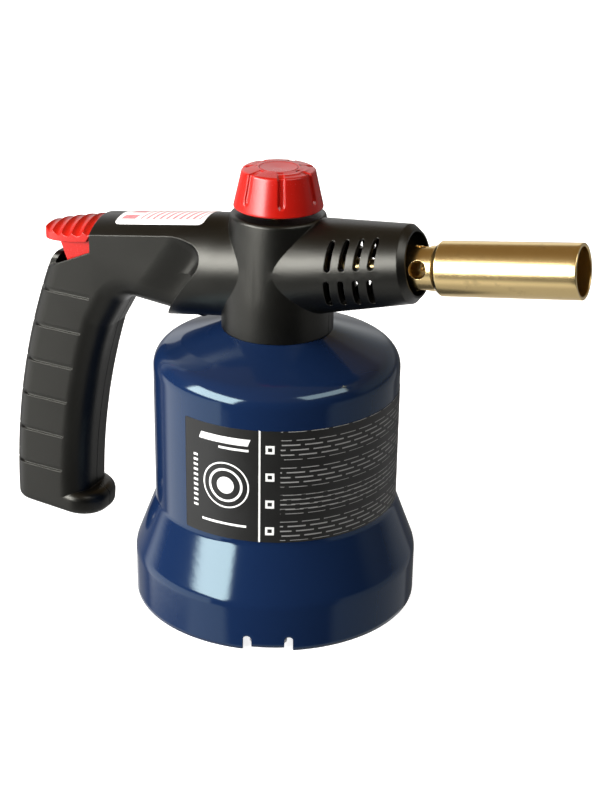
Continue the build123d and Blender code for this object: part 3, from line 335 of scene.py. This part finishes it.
def plain_finish(name, colour, roughness, metallic=0.0):
    """Small inner parts: a colour that drifts, with fine bumps."""
    finish = Finish(name, Metallic=metallic)
    spot, _ = finish.place()
    cloud = finish.noise(spot, 120.0, 3.0)
    fine = finish.noise(spot, 900.0, 3.0)
    finish.feed(Base_Color=finish.blend(cloud, rgba(colour, 0.88), rgba(colour, 1.10)),
                Roughness=fine * 0.12 + (roughness - 0.06))
    return finish.relief(fine, 0.15, 0.08 * MM)


def bar(value, centre, half):
    """1 where a value lies within half of a centre, else 0."""
    return (value - centre).absolute() < half


def printed_panel(colours):
    """Black film with rings, bars and broken rules; UV is in units of the panel's height."""
    finish = Finish("panel_film")
    along, up = finish.panel_place()
    from_middle, over_middle = along - 0.40, up - 0.48
    far = from_middle * from_middle + over_middle * over_middle

    def ring(outer, inner):
        return (far < outer * outer) * (far > inner * inner)

    divider = bar(along, 0.69, 0.0075)
    headline = bar(up, 0.885, 0.030) * bar(along - up * 0.4, 0.03, 0.22)
    under_headline = bar(up, 0.815, 0.010) * bar(along, 0.47, 0.13)
    footline = bar(up, 0.13, 0.010) * bar(along, 0.38, 0.20)
    ticks = bar(along, 0.115, 0.022) * ((up * 22.0).fraction() < 0.45) * bar(up, 0.47, 0.25)
    white = divider
    for shape in (ring(0.205, 0.192), ring(0.150, 0.130), ring(0.075, 0.0), headline,
                  under_headline, footline, ticks):
        white = white.greater(shape)
    group = (up * 4.1 + 0.02).fraction()
    row = (group * 5.6).fraction()
    row_number = up * 23.0 - (up * 23.0).fraction()
    dash = (along * 5.3 + row_number * 0.37).fraction()
    rules = bar(row, 0.5, 0.13) * bar(group, 0.45, 0.36) * (dash < 0.80)
    rules = rules * bar(along, 1.76, 0.90) * 0.30
    square = bar(along, 0.775, 0.036) * bar(group, 0.45, 0.15)
    hole = bar(along, 0.775, 0.018) * bar(group, 0.45, 0.07)
    white = white.greater(rules).greater((square - hole).clamped())
    ink = (0.80, 0.80, 0.78, 1)
    spot, _ = finish.place()
    cloud = finish.noise(spot, 90.0, 3.0)
    ground = finish.blend(cloud, rgba(colours.panel, 0.85), rgba(colours.panel, 1.2))
    finish.feed(Base_Color=finish.blend(white, ground, ink), Roughness=cloud * 0.10 + 0.34)
    return finish.relief(finish.noise(spot, 1600.0, 2.0), 0.06, 0.08 * MM)


def printed_badge():
    """White gloss film with a split block and a row of plain sloping strokes in red."""
    finish = Finish("badge_film", Coat_Weight=0.4, Coat_Roughness=0.06)
    ink, film_dark, film_pale = (0.62, 0.05, 0.07, 1), (0.80, 0.79, 0.78, 1), (0.88, 0.87, 0.86, 1)
    along, up = finish.panel_place()
    slanted, middle = along - up * 0.30, 0.42
    strokes = ((slanted * 6.5).fraction() < 0.42) * bar(slanted, 1.18, 0.70)
    block = bar(slanted, 0.20, 0.17) * ((up - middle).absolute() > 0.07)
    printed = strokes.greater(block) * bar(up, middle, 0.24)
    spot, _ = finish.place()
    cloud = finish.noise(spot, 90.0, 3.0)
    ground = finish.blend(cloud, film_dark, film_pale)
    finish.feed(Base_Color=finish.blend(printed * 0.85, ground, ink),
                Roughness=cloud * 0.08 + 0.24)
    return finish.relief(finish.noise(spot, 1600.0, 2.0), 0.05, 0.06 * MM)


# Directions and meshes
def seen_at(azimuth, elevation):
    """Direction at an azimuth from -Y towards +X and an elevation, both in degrees, and the
    level direction to its right."""
    azimuth, elevation = math.radians(azimuth), math.radians(elevation)
    away = Vector((math.sin(azimuth) * math.cos(elevation),
                   -math.cos(azimuth) * math.cos(elevation), math.sin(elevation)))
    return away, Vector((math.cos(azimuth), math.sin(azimuth), 0))


def rounded_profile(points, radii, arc_steps=8, longest=1.5 * MM):
    """Line through points whose inner corners are tangent arcs, cut into runs of at most longest.

    At a corner with half angle h an arc of radius r touches both sides r / tan h away; its
    points are the touch points' offsets from the centre, turned evenly from one to the other.
    """
    points = np.asarray(points, float)
    line = [points[:1]]
    for before, corner, after, radius in zip(points[:-2], points[1:-1], points[2:], radii):
        if radius <= 0:
            line.append(corner[None])
            continue
        back, ahead = before - corner, after - corner
        back_length, ahead_length = np.linalg.norm(back), np.linalg.norm(ahead)
        back, ahead = back / back_length, ahead / ahead_length
        half = math.acos(np.clip(back @ ahead, -1, 1)) / 2
        reach = min(radius / math.tan(half), 0.49 * back_length, 0.49 * ahead_length)
        radius = reach * math.tan(half)
        centre = corner + (back + ahead) / np.linalg.norm(back + ahead) * radius / math.sin(half)
        first, last = corner + back * reach - centre, corner + ahead * reach - centre
        sweep = math.pi - 2 * half
        t = np.linspace(0, 1, arc_steps + 1)[:, None]
        arc = (np.sin((1 - t) * sweep) * first + np.sin(t * sweep) * last) / math.sin(sweep)
        line.append(centre + arc)
    line.append(points[-1:])
    line = np.vstack(line)
    steps = np.linalg.norm(np.diff(line, axis=0), axis=1)
    line = np.vstack([line[:1], line[1:][steps > 1e-9]])
    reach = np.concatenate([[0], np.cumsum(steps[steps > 1e-9])])
    cuts = [np.linspace(a, b, max(2, int(math.ceil((b - a) / longest)) + 1))[:-1]
            for a, b in zip(reach[:-1], reach[1:])]
    stations = np.concatenate(cuts + [reach[-1:]])
    return np.stack([np.interp(stations, reach, line[:, i]) for i in range(2)], 1)


def add_piece(name, mesh):
    piece = bpy.data.objects.new(name, mesh)
    bpy.context.scene.collection.objects.link(piece)
    return piece


def surface(name, grid, wrap_rows=False, wrap_columns=False):
    """Smooth quads over a grid of points; rows or columns may join up with their first."""
    rows, columns = grid.shape[:2]
    index = np.arange(rows * columns).reshape(rows, columns)
    if wrap_rows:
        index = np.vstack([index, index[:1]])
    if wrap_columns:
        index = np.hstack([index, index[:, :1]])
    quads = np.stack([index[:-1, :-1], index[:-1, 1:], index[1:, 1:], index[1:, :-1]], -1)
    quads = quads.reshape(-1, 4)
    mesh = bpy.data.meshes.new(name)
    mesh.vertices.add(rows * columns)
    mesh.vertices.foreach_set("co", np.ascontiguousarray(grid, dtype=np.float32).reshape(-1))
    mesh.loops.add(quads.size)
    mesh.loops.foreach_set("vertex_index", quads.reshape(-1).astype(np.int32))
    mesh.polygons.add(len(quads))
    mesh.polygons.foreach_set("loop_start", np.arange(0, quads.size, 4, dtype=np.int32))
    mesh.update(calc_edges=True)
    mesh.shade_smooth()
    return add_piece(name, mesh)


def close_and_face_out(piece):
    """Merges the points at seams and poles and turns every face outwards."""
    work = bmesh.new()
    work.from_mesh(piece.data)
    bmesh.ops.remove_doubles(work, verts=work.verts, dist=0.002 * MM)
    bmesh.ops.recalc_face_normals(work, faces=work.faces)
    work.to_mesh(piece.data)
    work.free()
    return piece


def turned(profile, angles):
    """Grid of a profile (radius, height) carried round the Z axis by angles from -Y towards +X."""
    radius, height = profile[:, 0][:, None], profile[:, 1][:, None]
    return np.stack([radius * np.sin(angles), -radius * np.cos(angles),
                     height + 0 * angles], -1)


def on_burner(grid):
    """Moves a grid turned round Z onto the burner axis: its height becomes distance along it.

    The grid comes out mirrored, so its faces turn over.
    """
    forward = np.array([math.cos(BURNER_PITCH), 0, math.sin(BURNER_PITCH)])
    upward = np.array([-math.sin(BURNER_PITCH), 0, math.cos(BURNER_PITCH)])
    side = np.array([0.0, 1.0, 0.0])
    start = np.array([0, 0, BURNER_HEIGHT])
    return start + grid[..., 2:3] * forward + grid[..., 0:1] * side - grid[..., 1:2] * upward


def full_turn(steps):
    return np.linspace(0, 2 * math.pi, steps, endpoint=False)


def nearest_turn(angles, period=2 * math.pi):
    """Angles moved by whole periods to lie within half a period of zero."""
    return (angles + period / 2) % period - period / 2


def smooth(share):
    """Shares of 0 to 1 with a level start and end."""
    return share * share * (3 - 2 * share)


def round_end(distance, radius):
    """Half the chord of a circle at a distance from its middle, 0 beyond its radius."""
    return np.sqrt(np.maximum(radius ** 2 - distance ** 2, 0))


def from_node(node, name, edge=0):
    """A merged copy of a CAD node: edges over 11.5 degrees stay sharp, and with an edge radius
    those over 32 degrees are rounded."""
    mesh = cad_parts[node].data.copy()
    mesh.name = name
    piece = add_piece(name, mesh)
    work = bmesh.new()
    work.from_mesh(mesh)
    bmesh.ops.remove_doubles(work, verts=work.verts, dist=0.004 * MM)
    bmesh.ops.dissolve_limit(work, angle_limit=math.radians(0.4), verts=work.verts,
                             edges=work.edges)
    for face in work.faces:
        face.smooth = True
    for side in work.edges:
        side.smooth = not (len(side.link_faces) == 2
                           and side.calc_face_angle(0) > math.radians(11.5))
    work.to_mesh(mesh)
    work.free()
    mesh.materials.clear()
    if edge:
        rounding = piece.modifiers.new("edges", "BEVEL")
        rounding.width = edge
        rounding.segments = 2
        rounding.limit_method = "ANGLE"
        rounding.angle_limit = math.radians(32.0)
        rounding.harden_normals = True
        rounding.use_clamp_overlap = True
    return piece


def wear(piece, material, slot, body, *nodes):
    """Gives a piece its finish and the body it belongs to, and hides the nodes it stands for; the
    slot is not used.
    """
    piece.data.materials.append(material)
    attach(piece, body)
    if nodes:
        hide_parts(*nodes)
    return piece


class PieceOperator(bpy.types.Operator):
    bl_options = {"REGISTER", "UNDO"}

    def execute(self, context):
        self.build(context.scene.blow_lamp_sizes, context.scene.blow_lamp_colours)
        return {"FINISHED"}


class LAMP_OT_canister(PieceOperator):
    """Canister shell with its base notches and two bent lips"""
    bl_idname = "blow_lamp.canister"
    bl_label = "Canister shell"

    slot_half = 1.65 * MM
    slot_middle = 7.85 * MM
    slot_top = 5.7 * MM

    def build(self, sizes, colours):
        """Profile carried round Z. Near the foot each point's height is stretched between the
        edge line and 10 mm, and the edge line rises by each notch's slot shape."""
        rim, wall, sheet = sizes.rim_radius, sizes.canister_radius, sizes.sheet
        flare_top, flare_round, flare_hollow = 40.0 * MM, 10.0 * MM, 5.0 * MM
        shoulder, shoulder_round, slope = 94.35 * MM, 8.1 * MM, math.tan(math.radians(20))
        knee = shoulder + shoulder_round * math.tan(math.radians(35))
        hole, flat, flat_round = 7.3 * MM, 17.5 * MM, 1.5 * MM
        top = knee + (wall - flat) * slope
        outer = rounded_profile(
            [(rim, 0), (rim, sizes.rim_height), (wall, flare_top), (wall, knee), (flat, top),
             (hole, top)],
            [flare_round, flare_hollow, shoulder_round, flat_round], 14)
        inner = rounded_profile(
            [(hole, top - sheet), (flat, top - sheet), (wall - sheet, knee - sheet * 0.5),
             (wall - sheet, flare_top), (rim - sheet, sizes.rim_height), (rim - sheet, 0)],
            [flat_round, shoulder_round - sheet, flare_hollow, flare_round], 10)
        profile = np.vstack([outer, inner])
        angles = self.angles(sizes)
        edge = self.edge_line(angles, sizes)
        grid = turned(profile, angles)
        stretched_to = 10 * MM
        share = np.clip(profile[:, 1] / stretched_to, 0, 1)[:, None]
        lifted = edge + (stretched_to - edge) * share
        low_rows = profile[:, 1] < stretched_to
        grid[..., 2] = np.where(low_rows[:, None], lifted, grid[..., 2])
        shell = surface("canister_shell", grid, wrap_rows=True, wrap_columns=True)
        close_and_face_out(shell)
        paint = gloss_paint(colours)
        wear(shell, paint, "blue_paint", "root", "canister_housing")
        for index in range(2):
            self.lip(sizes, sizes.notch_azimuth + math.pi * index, index, paint)

    def angles(self, sizes):
        """Even steps all round, with close steps across each tongue's two slots."""
        even = full_turn(288)
        close = []
        half = self.slot_half / sizes.rim_radius
        for side in (0, math.pi):
            for hand in (-1, 1):
                middle = sizes.notch_azimuth + side + hand * self.slot_middle / sizes.rim_radius
                inside = middle + half * np.sin(np.linspace(-math.pi / 2, math.pi / 2, 19))
                close += [inside, [middle - half * 1.012, middle + half * 1.012]]
        close = np.concatenate(close) % (2 * math.pi)
        gap = np.abs(nearest_turn(even[:, None] - close[None]))
        even = even[gap.min(axis=1) > math.radians(0.25)]
        return np.sort(np.concatenate([even, close]))

    def edge_line(self, angles, sizes):
        """Height of the lower edge: slot sides go straight up, then a half circle; between the
        slots it is the tongue's edge."""
        edge = np.zeros_like(angles)
        for side in (0, math.pi):
            across = np.abs(nearest_turn(angles - sizes.notch_azimuth - side)) * sizes.rim_radius
            edge = np.where(across < self.slot_middle - self.slot_half, TONGUE_EDGE, edge)
            offset = np.abs(across - self.slot_middle)
            arch = self.slot_top - self.slot_half + round_end(offset, self.slot_half)
            edge = np.where(offset <= self.slot_half, arch, edge)
        return edge

    def lip(self, sizes, azimuth, index, material):
        """The tongue's end bent inwards: an L-shaped strip with a rounded bend."""
        sheet, half_width, reach, top = sizes.sheet, 6.15 * MM, 4.4 * MM, 3.0 * MM
        face, foot, inset = -sheet * 0.98, TONGUE_EDGE + 0.03 * MM, 0.35 * MM
        outer = rounded_profile([(face, top), (face, foot), (-reach, foot)], [0.3 * MM], 5, 0.5 * MM)
        inner = outer + [0, sheet]
        inner[:, 0] = np.minimum(inner[:, 0], face - 0.01 * MM)
        ring = np.vstack([outer, inner[::-1]])
        across = np.linspace(-half_width, half_width, 9)
        out = np.array([math.sin(azimuth), -math.cos(azimuth), 0])
        side = np.array([math.cos(azimuth), math.sin(azimuth), 0])
        grid = ((sizes.rim_radius + ring[:, None, 0:1] - inset) * out
                + across[None, :, None] * side + ring[:, None, 1:2] * np.array([0, 0, 1.0]))
        piece = surface(f"canister_lip_{index}", grid, wrap_rows=True)
        work = bmesh.new()
        work.from_mesh(piece.data)
        bmesh.ops.holes_fill(work, edges=[e for e in work.edges if e.is_boundary], sides=0)
        bmesh.ops.recalc_face_normals(work, faces=work.faces)
        work.to_mesh(piece.data)
        work.free()
        wear(piece, material, "blue_paint", "root", "canister_housing")


class LAMP_OT_panels(PieceOperator):
    """Wrap-round panel on the canister and badge along the arm, both as thin film"""
    bl_idname = "blow_lamp.panels"
    bl_label = "Graphic panels"

    def build(self, sizes, colours):
        label = self.film_on_cylinder(
            "canister_panel", sizes.canister_radius, (-19.3, 130.0), (41.6 * MM, 86.7 * MM), 0.7 * MM)
        wear(label, printed_panel(colours), "label_film", "root", "canister_label")
        badge = self.film_on_cylinder(
            "arm_badge_film", 19.7 * MM, (-27, 27), (-63.6 * MM, -24.9 * MM), 2.2 * MM, on_arm=True)
        wear(badge, printed_badge(), "label_film", "root", "arm_badge")

    def film_on_cylinder(self, name, radius, turn, reach, corner, on_arm=False):
        """Film on part of a cylinder, between two angles in degrees and two heights.

        Its underside is half its thickness off the surface. Rows near an end are shortened by
        corner - sqrt(corner^2 - d^2), with d the depth into the corner. On the arm the axis is
        the burner's, and the print runs along it.
        """
        radius = radius + FILM * 1.5
        (start, end), (low, high) = map(math.radians, turn), reach
        depth = corner * np.sin(np.linspace(0, math.pi / 2, 9))
        rows = np.unique(np.concatenate(
            [low + corner - depth, np.linspace(low + corner, high - corner, 14),
             high - corner + depth]).round(7))
        into = np.maximum(np.maximum(low + corner - rows, rows - high + corner), 0)
        pull = (corner - round_end(into, corner)) / radius
        share = np.linspace(0, 1, max(40, int((end - start) * 60)))[None, :]
        first, last = (start + pull)[:, None], (end - pull)[:, None]
        angles = first + (last - first) * share
        grid = turned(np.stack([0 * rows + radius, rows], 1), angles)
        across, up = (angles - start) * radius, (rows - low)[:, None] + 0 * angles
        height = high - low
        if on_arm:
            grid, across, up = on_burner(grid)[:, ::-1], up[:, ::-1], across[:, ::-1]
            height = (end - start) * radius
        piece = surface(name, grid)
        uv = (np.stack([across, up], -1) / height).reshape(-1, 2)
        corners = np.empty(len(piece.data.loops), dtype=np.int32)
        piece.data.loops.foreach_get("vertex_index", corners)
        layer = piece.data.uv_layers.new(name=PANEL_UV)
        layer.data.foreach_set("uv", uv[corners].astype(np.float32).reshape(-1))
        body = piece.modifiers.new("film", "SOLIDIFY")
        body.thickness = FILM
        body.offset = -1
        return piece


class LAMP_OT_moulded_body(PieceOperator):
    """Both halves of the grained moulding: grip, arm, column and slotted shroud"""
    bl_idname = "blow_lamp.moulded_body"
    bl_label = "Moulded body"

    def build(self, sizes, colours):
        plastic = grained_plastic("moulded_plastic", colours.moulding, 0.34, edge=sizes.edge_round,
                                  dished=True)
        for side in ("left", "right"):
            half = from_node(f"{side}_housing", f"{side}_moulding")
            wear(half, plastic, "black_plastic", "root", f"{side}_housing")


class LAMP_OT_controls(PieceOperator):
    """Igniter lever and gas knob in gloss red plastic"""
    bl_idname = "blow_lamp.controls"
    bl_label = "Lever and knob"

    def build(self, sizes, colours):
        plastic = gloss_plastic(colours)
        lever = from_node("igniter_lever", "thumb_lever", 0.45 * MM)
        wear(lever, plastic, "red_plastic", "lever", "igniter_lever")
        wear(self.crown(sizes), plastic, "red_plastic", "knob", "control_knob")
        wear(self.disc(), plastic, "red_plastic", "knob", "knob_cap")

    def crown(self, sizes):
        """Tapered crown turned round Z, its radius pulled in at each flute.

        The pull is flute depth times a flat-bottomed step of the distance from the flute's
        middle, and it starts at the flute's rounded lower end and runs out through the top.
        """
        foot, foot_radius, foot_lip = 156.5 * MM, sizes.knob_radius, 1.6 * MM
        rim, rim_radius, wall = 170.6 * MM, 13.6 * MM, 2.0 * MM
        dish, dish_floor, dish_foot = 7.2 * MM, KNOB_TOP - KNOB_DISH_DEPTH, 6.85 * MM
        start, centre = (foot_radius - foot_lip, foot + 0.1 * MM), 0.02 * MM
        outer = rounded_profile(
            [start, (foot_radius - 0.1 * MM, foot), (rim_radius, rim), (dish, KNOB_TOP),
             (dish_foot, dish_floor)],
            [0.45 * MM, 0.9 * MM, 0.5 * MM], 7, 0.45 * MM)
        inner = rounded_profile(
            [(dish_foot, dish_floor), (centre, dish_floor), (centre, rim - wall),
             (rim_radius - wall, rim - wall), start],
            [0, 0, 0.8 * MM], 5, 1.0 * MM)
        profile = np.vstack([outer, inner[1:-1]])
        radius, height = profile[:, 0][:, None], profile[:, 1][:, None]
        angles = full_turn(sizes.flute_count * 72)
        grid = turned(profile, angles)

        half, depth, soft, lowest = 1.15 * MM, 0.9 * MM, 0.26 * MM, 159.9 * MM
        away = nearest_turn(angles - math.radians(29.3), 2 * math.pi / sizes.flute_count)
        distance = np.abs(away)[None, :] * np.maximum(radius, 1e-6)
        inside = smooth(np.clip((half - distance) / soft + 0.5, 0, 1))
        lower_end = lowest + half - round_end(np.minimum(distance, half), half)
        rise = np.clip((height - lower_end) / soft + 0.5, 0, 1)
        on_outside = (np.arange(len(profile)) < len(outer))[:, None] & (radius > dish + 1.5 * MM)
        pull = depth * inside * rise * on_outside
        grid[..., :2] *= np.clip((radius - pull) / np.maximum(radius, 1e-6), 0, 1)[..., None]

        run_out = 2.2 * MM
        slope_share = np.clip((radius - rim_radius + run_out) / run_out, 0, 1)
        grid[..., 2] -= pull * (height > rim) * slope_share * 0.5
        grid[..., 2] += self.arrows(radius, height, angles)
        knob = surface("gas_knob", grid, wrap_rows=True, wrap_columns=True)
        return close_and_face_out(knob)

    def arrows(self, radius, height, angles):
        """Heights of two plain tapered arcs on the sloping top, one for each way of turning."""
        middle, half_width, lowest, relief = 10.4 * MM, 0.9 * MM, 169.0 * MM, 0.22 * MM
        first, length = 0.35, 1.9
        band = np.clip(1.0 - np.abs(radius - middle) / half_width, 0, 1) * (height > lowest)
        lift = 0
        for start in (first, first + math.pi):
            along = ((angles - start) % (2 * math.pi)) / length
            taper = np.clip(along * 6, 0, 1) * np.clip((1 - along) * 2.4, 0, 1)
            lift = lift + np.where(along < 1, taper, 0)
        return relief * smooth(band) * lift

    def disc(self):
        """Cap disc: a shallow dish with a rounded rim and a level underside."""
        radius, rim, dip, rim_dip = 7.08 * MM, 0.9 * MM, 0.45 * MM, 0.12 * MM
        bottom = KNOB_TOP - KNOB_DISH_DEPTH
        profile = rounded_profile(
            [(0, KNOB_TOP - dip), (radius - rim, KNOB_TOP - rim_dip), (radius, KNOB_TOP),
             (radius, bottom), (0, bottom)],
            [0.8 * MM, 0.25 * MM, 0.15 * MM], 6, 0.4 * MM)
        disc = surface("knob_disc", turned(profile, full_turn(96)), wrap_columns=True)
        return close_and_face_out(disc)


class LAMP_OT_burner(PieceOperator):
    """Burner tube with its turned shoulder and rounded mouth, and the drilled neck"""
    bl_idname = "blow_lamp.burner"
    bl_label = "Burner"

    def build(self, sizes, colours):
        """Tube: closed profile (radius, distance) carried round the burner axis."""
        brass = turned_metal("turned_brass", colours.brass, 0.24)
        radius, bore, root_bore = sizes.tube_radius, 8.67 * MM, 7.02 * MM
        root, root_radius, seam = 64.1 * MM, 8.24 * MM, 7.6 * MM
        shoulder, step, mouth = 66.2 * MM, 68.0 * MM, 117.8 * MM
        profile = rounded_profile(
            [(seam, root), (root_radius, root), (radius, shoulder), (radius, mouth),
             (bore, mouth), (bore, step), (root_bore, step), (root_bore, root), (seam, root)],
            [0.05 * MM, 0.6 * MM, 0.4 * MM, 0.3 * MM, 0.3 * MM, 0, 0], 7, 2.0 * MM)
        grid = on_burner(turned(profile, full_turn(160)))
        tube = close_and_face_out(surface("flame_tube", grid, wrap_columns=True))
        wear(tube, brass, "brass", "root", "burner_tube")
        neck = from_node("burner_neck", "drilled_neck")
        wear(neck, brass, "brass", "root", "burner_neck")


class LAMP_OT_inner_parts(PieceOperator):
    """Finishes for the CAD parts that show as they are"""
    bl_idname = "blow_lamp.inner_parts"
    bl_label = "Inner parts"

    def build(self, sizes, colours):
        """Each node's own slots take the finish of its kind."""
        brass = turned_metal("inner_brass", colours.brass, 0.30)
        zinc = plain_finish("zinc_plate", (0.55, 0.56, 0.58), 0.38, metallic=1.0)
        kinds = {
            ("valve_body", "valve_nut", "valve_spindle", "gland_nut", "gas_pipe", "jet",
             "flame_disc"): brass,
            ("retaining_strap", "lever_pin", "piercing_needle", "knob_screw",
             "spark_electrode"): zinc,
            ("housing_screws",): plain_finish("blackened_steel", (0.06, 0.06, 0.065), 0.42, 0.9),
            ("gas_cartridge",): plain_finish("cartridge_enamel", (0.55, 0.57, 0.60), 0.32),
            ("piezo_body",): grained_plastic("capsule_plastic", (0.02, 0.02, 0.022), 0.5),
            ("piezo_plunger",): plain_finish("pale_plastic", (0.62, 0.62, 0.58), 0.45),
            ("cartridge_seal", "spindle_orings"): plain_finish(
                "seal_rubber", (0.02, 0.02, 0.02), 0.7),
            ("electrode_insulator",): plain_finish("glazed_ceramic", (0.80, 0.78, 0.72), 0.25),
            ("ignition_lead",): plain_finish("lead_sheath", (0.38, 0.03, 0.02), 0.5),
        }
        for nodes, material in kinds.items():
            for node in nodes:
                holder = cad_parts[node]
                if not holder.data.materials:
                    holder.data.materials.append(material)
                for slot in holder.material_slots:
                    slot.material = material


class LAMP_OT_studio(bpy.types.Operator):
    """Pale floor, soft lights, sky and the camera of the reference view"""
    bl_idname = "blow_lamp.studio"
    bl_label = "Studio"
    bl_options = {"REGISTER", "UNDO"}

    def execute(self, context):
        studio = context.scene.blow_lamp_studio
        context.scene.view_settings.view_transform = "Standard"
        self.floor()
        self.softbox("fill_softbox", -68, 6, 1.20, 1.00, studio.fill_power)
        self.softbox("top_softbox", -60, 75, 1.20, 1.20, studio.top_power)
        self.sky(context, studio)
        self.camera(context)
        return {"FINISHED"}

    def floor(self):
        """Disc of rings round the origin with a pale matt finish that glows; the parts see the
        sky's lower half in its place."""
        radius = np.array([0.0, 0.3, 1.0, 3.0, 8.0])
        grid = turned(np.stack([radius, radius * 0], 1), full_turn(96))
        floor = close_and_face_out(surface("studio_floor", grid, wrap_columns=True))
        if floor.data.polygons[0].normal.z < 0:
            floor.data.flip_normals()
        finish = Finish("pale_floor", Roughness=0.9, Specular_IOR_Level=0.0,
                        Emission_Strength=0.80, Emission_Color=WHITE)
        spot, _ = finish.place()
        cloud = finish.noise(spot, 3.0, 2.0)
        finish.feed(Base_Color=finish.blend(cloud, rgba(WHITE[:3], 0.80), rgba(WHITE[:3], 0.82)))
        floor.data.materials.append(finish.material)
        floor.visible_glossy = floor.visible_diffuse = False

    def softbox(self, name, azimuth, elevation, width, height, power):
        """Area light round the lamp's middle; gloss shows the sky's patches in its place."""
        away, _ = seen_at(azimuth, elevation)
        middle, distance = Vector((0, 0, 0.09)), 1.6
        light = bpy.data.lights.new(name, "AREA")
        light.shape = "RECTANGLE"
        light.size, light.size_y, light.energy = width, height, power
        holder = bpy.data.objects.new(name, light)
        holder.location = middle + away * distance
        holder.rotation_euler = away.to_track_quat("Z", "Y").to_euler()
        holder.visible_glossy = False
        bpy.context.scene.collection.objects.link(holder)

    def patch(self, shading, spot, azimuth, elevation, roll, half_width, half_height, strength):
        """Soft-edged oblong of light in the sky; its half sizes are sines of angles."""
        away, level = seen_at(azimuth, elevation)
        upright, roll = away.cross(level), math.radians(roll)
        right = level * math.cos(roll) + upright * math.sin(roll)
        ahead, across, upwards = [
            shading.node("ShaderNodeVectorMath", {"operation": "DOT_PRODUCT"}, spot, axis, output=1)
            for axis in (away, right, right.cross(away))]
        inside = ((across / half_width).absolute().ramp(1.0, 0.82)
                  * (upwards / half_height).absolute().ramp(1.0, 0.75))
        return inside * (ahead > 0.0) * strength

    def sky(self, context, studio):
        """Sky by direction, the brightest of what lies there: white behind the lamp up to 35
        degrees and dimmer from the middle to the right, a pale ground below that reaches higher
        at a spot on the left, a card low on the left, a dim wall low on the right but not in
        front, soft patches, and a faint glow that grows overhead. What is dim high up is warm."""
        world = bpy.data.worlds.new("studio_sky")
        context.scene.world = world
        world.use_nodes = True
        shading = Shading(world.node_tree)
        spot = shading.node("ShaderNodeTexCoord", {}, output="Generated")
        side, depth, rise = shading.parts(spot)
        back = (depth.ramp(0.05, 0.45) * rise.ramp(0.50, 0.60, 1.0, 0.0)
                * side.ramp(-0.30, -0.10, 1.0, 0.32) * rise.ramp(-0.05, 0.15, 0.35, 1.0))
        lowered = (side + 0.45).absolute().ramp(0.10, 0.35, 0.0, 0.18)
        below = (rise + lowered).ramp(-0.36, -0.48) * rise.ramp(-0.62, -0.84, 0.92, 0.50)
        wall = (depth.ramp(-0.34, -0.16) * side.ramp(0.15, 0.30)
                * (rise + 0.35).absolute().ramp(0.36, 0.20) * 0.34)
        card = (side.ramp(-0.39, -0.43) * depth.ramp(0.25, 0.05)
                * (rise + 0.30).absolute().ramp(0.24, 0.16) * 1.4)
        glow = rise.ramp(0.25, 0.60, 0.03, 0.22)
        key = self.patch(shading, spot, -35, 18, -12, 0.46, 0.27, studio.key_strength)
        strip = self.patch(shading, spot, 80, 43, 0, 0.40, 0.18, studio.strip_strength)
        rear = self.patch(shading, spot, -123, 37, 0, 0.25, 0.08, 0.6)
        strength = back
        for light in (below, card, wall, glow, key, strip, rear):
            strength = strength.greater(light)
        warmth = rise.ramp(0.25, 0.50) * strength.ramp(0.40, 0.24)
        colour = shading.blend(warmth, WHITE, (1.0, 0.68, 0.32, 1))
        ground = world.node_tree.nodes["Background"]
        shading.give(ground.inputs["Strength"], strength)
        shading.give(ground.inputs["Color"], colour)

    def camera(self, context):
        """Camera fitted to the reference view: its direction, distance, aim and roll."""
        back, right = seen_at(25.61, 22.176)
        middle, distance, shift, lift = Vector((0, 0, 0.095)), 0.650, 8.919 * MM, -15.04 * MM
        spot = middle + back * distance
        aim = middle + right * shift + back.cross(right) * lift
        axis = (spot - aim).normalized()
        level = Vector((0, 0, 1)).cross(axis).normalized()
        upright = axis.cross(level)
        roll = math.radians(0.864)
        first = level * math.cos(roll) + upright * math.sin(roll)
        second = upright * math.cos(roll) - level * math.sin(roll)
        turn = Matrix((first, second, axis)).transposed()
        lens = bpy.data.cameras.new("reference_camera")
        lens.sensor_width = 36.0
        lens.lens = 76.38
        lens.clip_start = 0.01
        holder = bpy.data.objects.new("reference_camera", lens)
        holder.matrix_world = Matrix.Translation(spot) @ turn.to_4x4()
        context.scene.collection.objects.link(holder)
        context.scene.camera = holder


STEPS = (LAMP_OT_canister, LAMP_OT_panels, LAMP_OT_moulded_body, LAMP_OT_controls,
         LAMP_OT_burner, LAMP_OT_inner_parts, LAMP_OT_studio)


class LAMP_PT_builder(bpy.types.Panel):
    """Lists the steps in the sidebar"""
    bl_idname = "LAMP_PT_builder"
    bl_label = "Blow lamp"
    bl_space_type = "VIEW_3D"
    bl_region_type = "UI"
    bl_category = "Blow lamp"

    def draw(self, context):
        for group in ("blow_lamp_sizes", "blow_lamp_colours", "blow_lamp_studio"):
            holder = getattr(context.scene, group)
            for name in holder.bl_rna.properties.keys():
                if name not in ("rna_type", "name"):
                    self.layout.prop(holder, name)
        for step in STEPS:
            self.layout.operator(step.bl_idname)


CLASSES = (BlowLampSizes, BlowLampColours, BlowLampStudio) + STEPS + (LAMP_PT_builder,)


def register():
    for kind in CLASSES:
        bpy.utils.register_class(kind)
    bpy.types.Scene.blow_lamp_sizes = PointerProperty(type=BlowLampSizes)
    bpy.types.Scene.blow_lamp_colours = PointerProperty(type=BlowLampColours)
    bpy.types.Scene.blow_lamp_studio = PointerProperty(type=BlowLampStudio)


def unregister():
    del bpy.types.Scene.blow_lamp_sizes
    del bpy.types.Scene.blow_lamp_colours
    del bpy.types.Scene.blow_lamp_studio
    for kind in reversed(CLASSES):
        bpy.utils.unregister_class(kind)


def main():
    """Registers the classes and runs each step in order."""
    register()
    for step in STEPS:
        group, name = step.bl_idname.split(".")
        getattr(getattr(bpy.ops, group), name)()


if __name__ == "__main__":
    main()
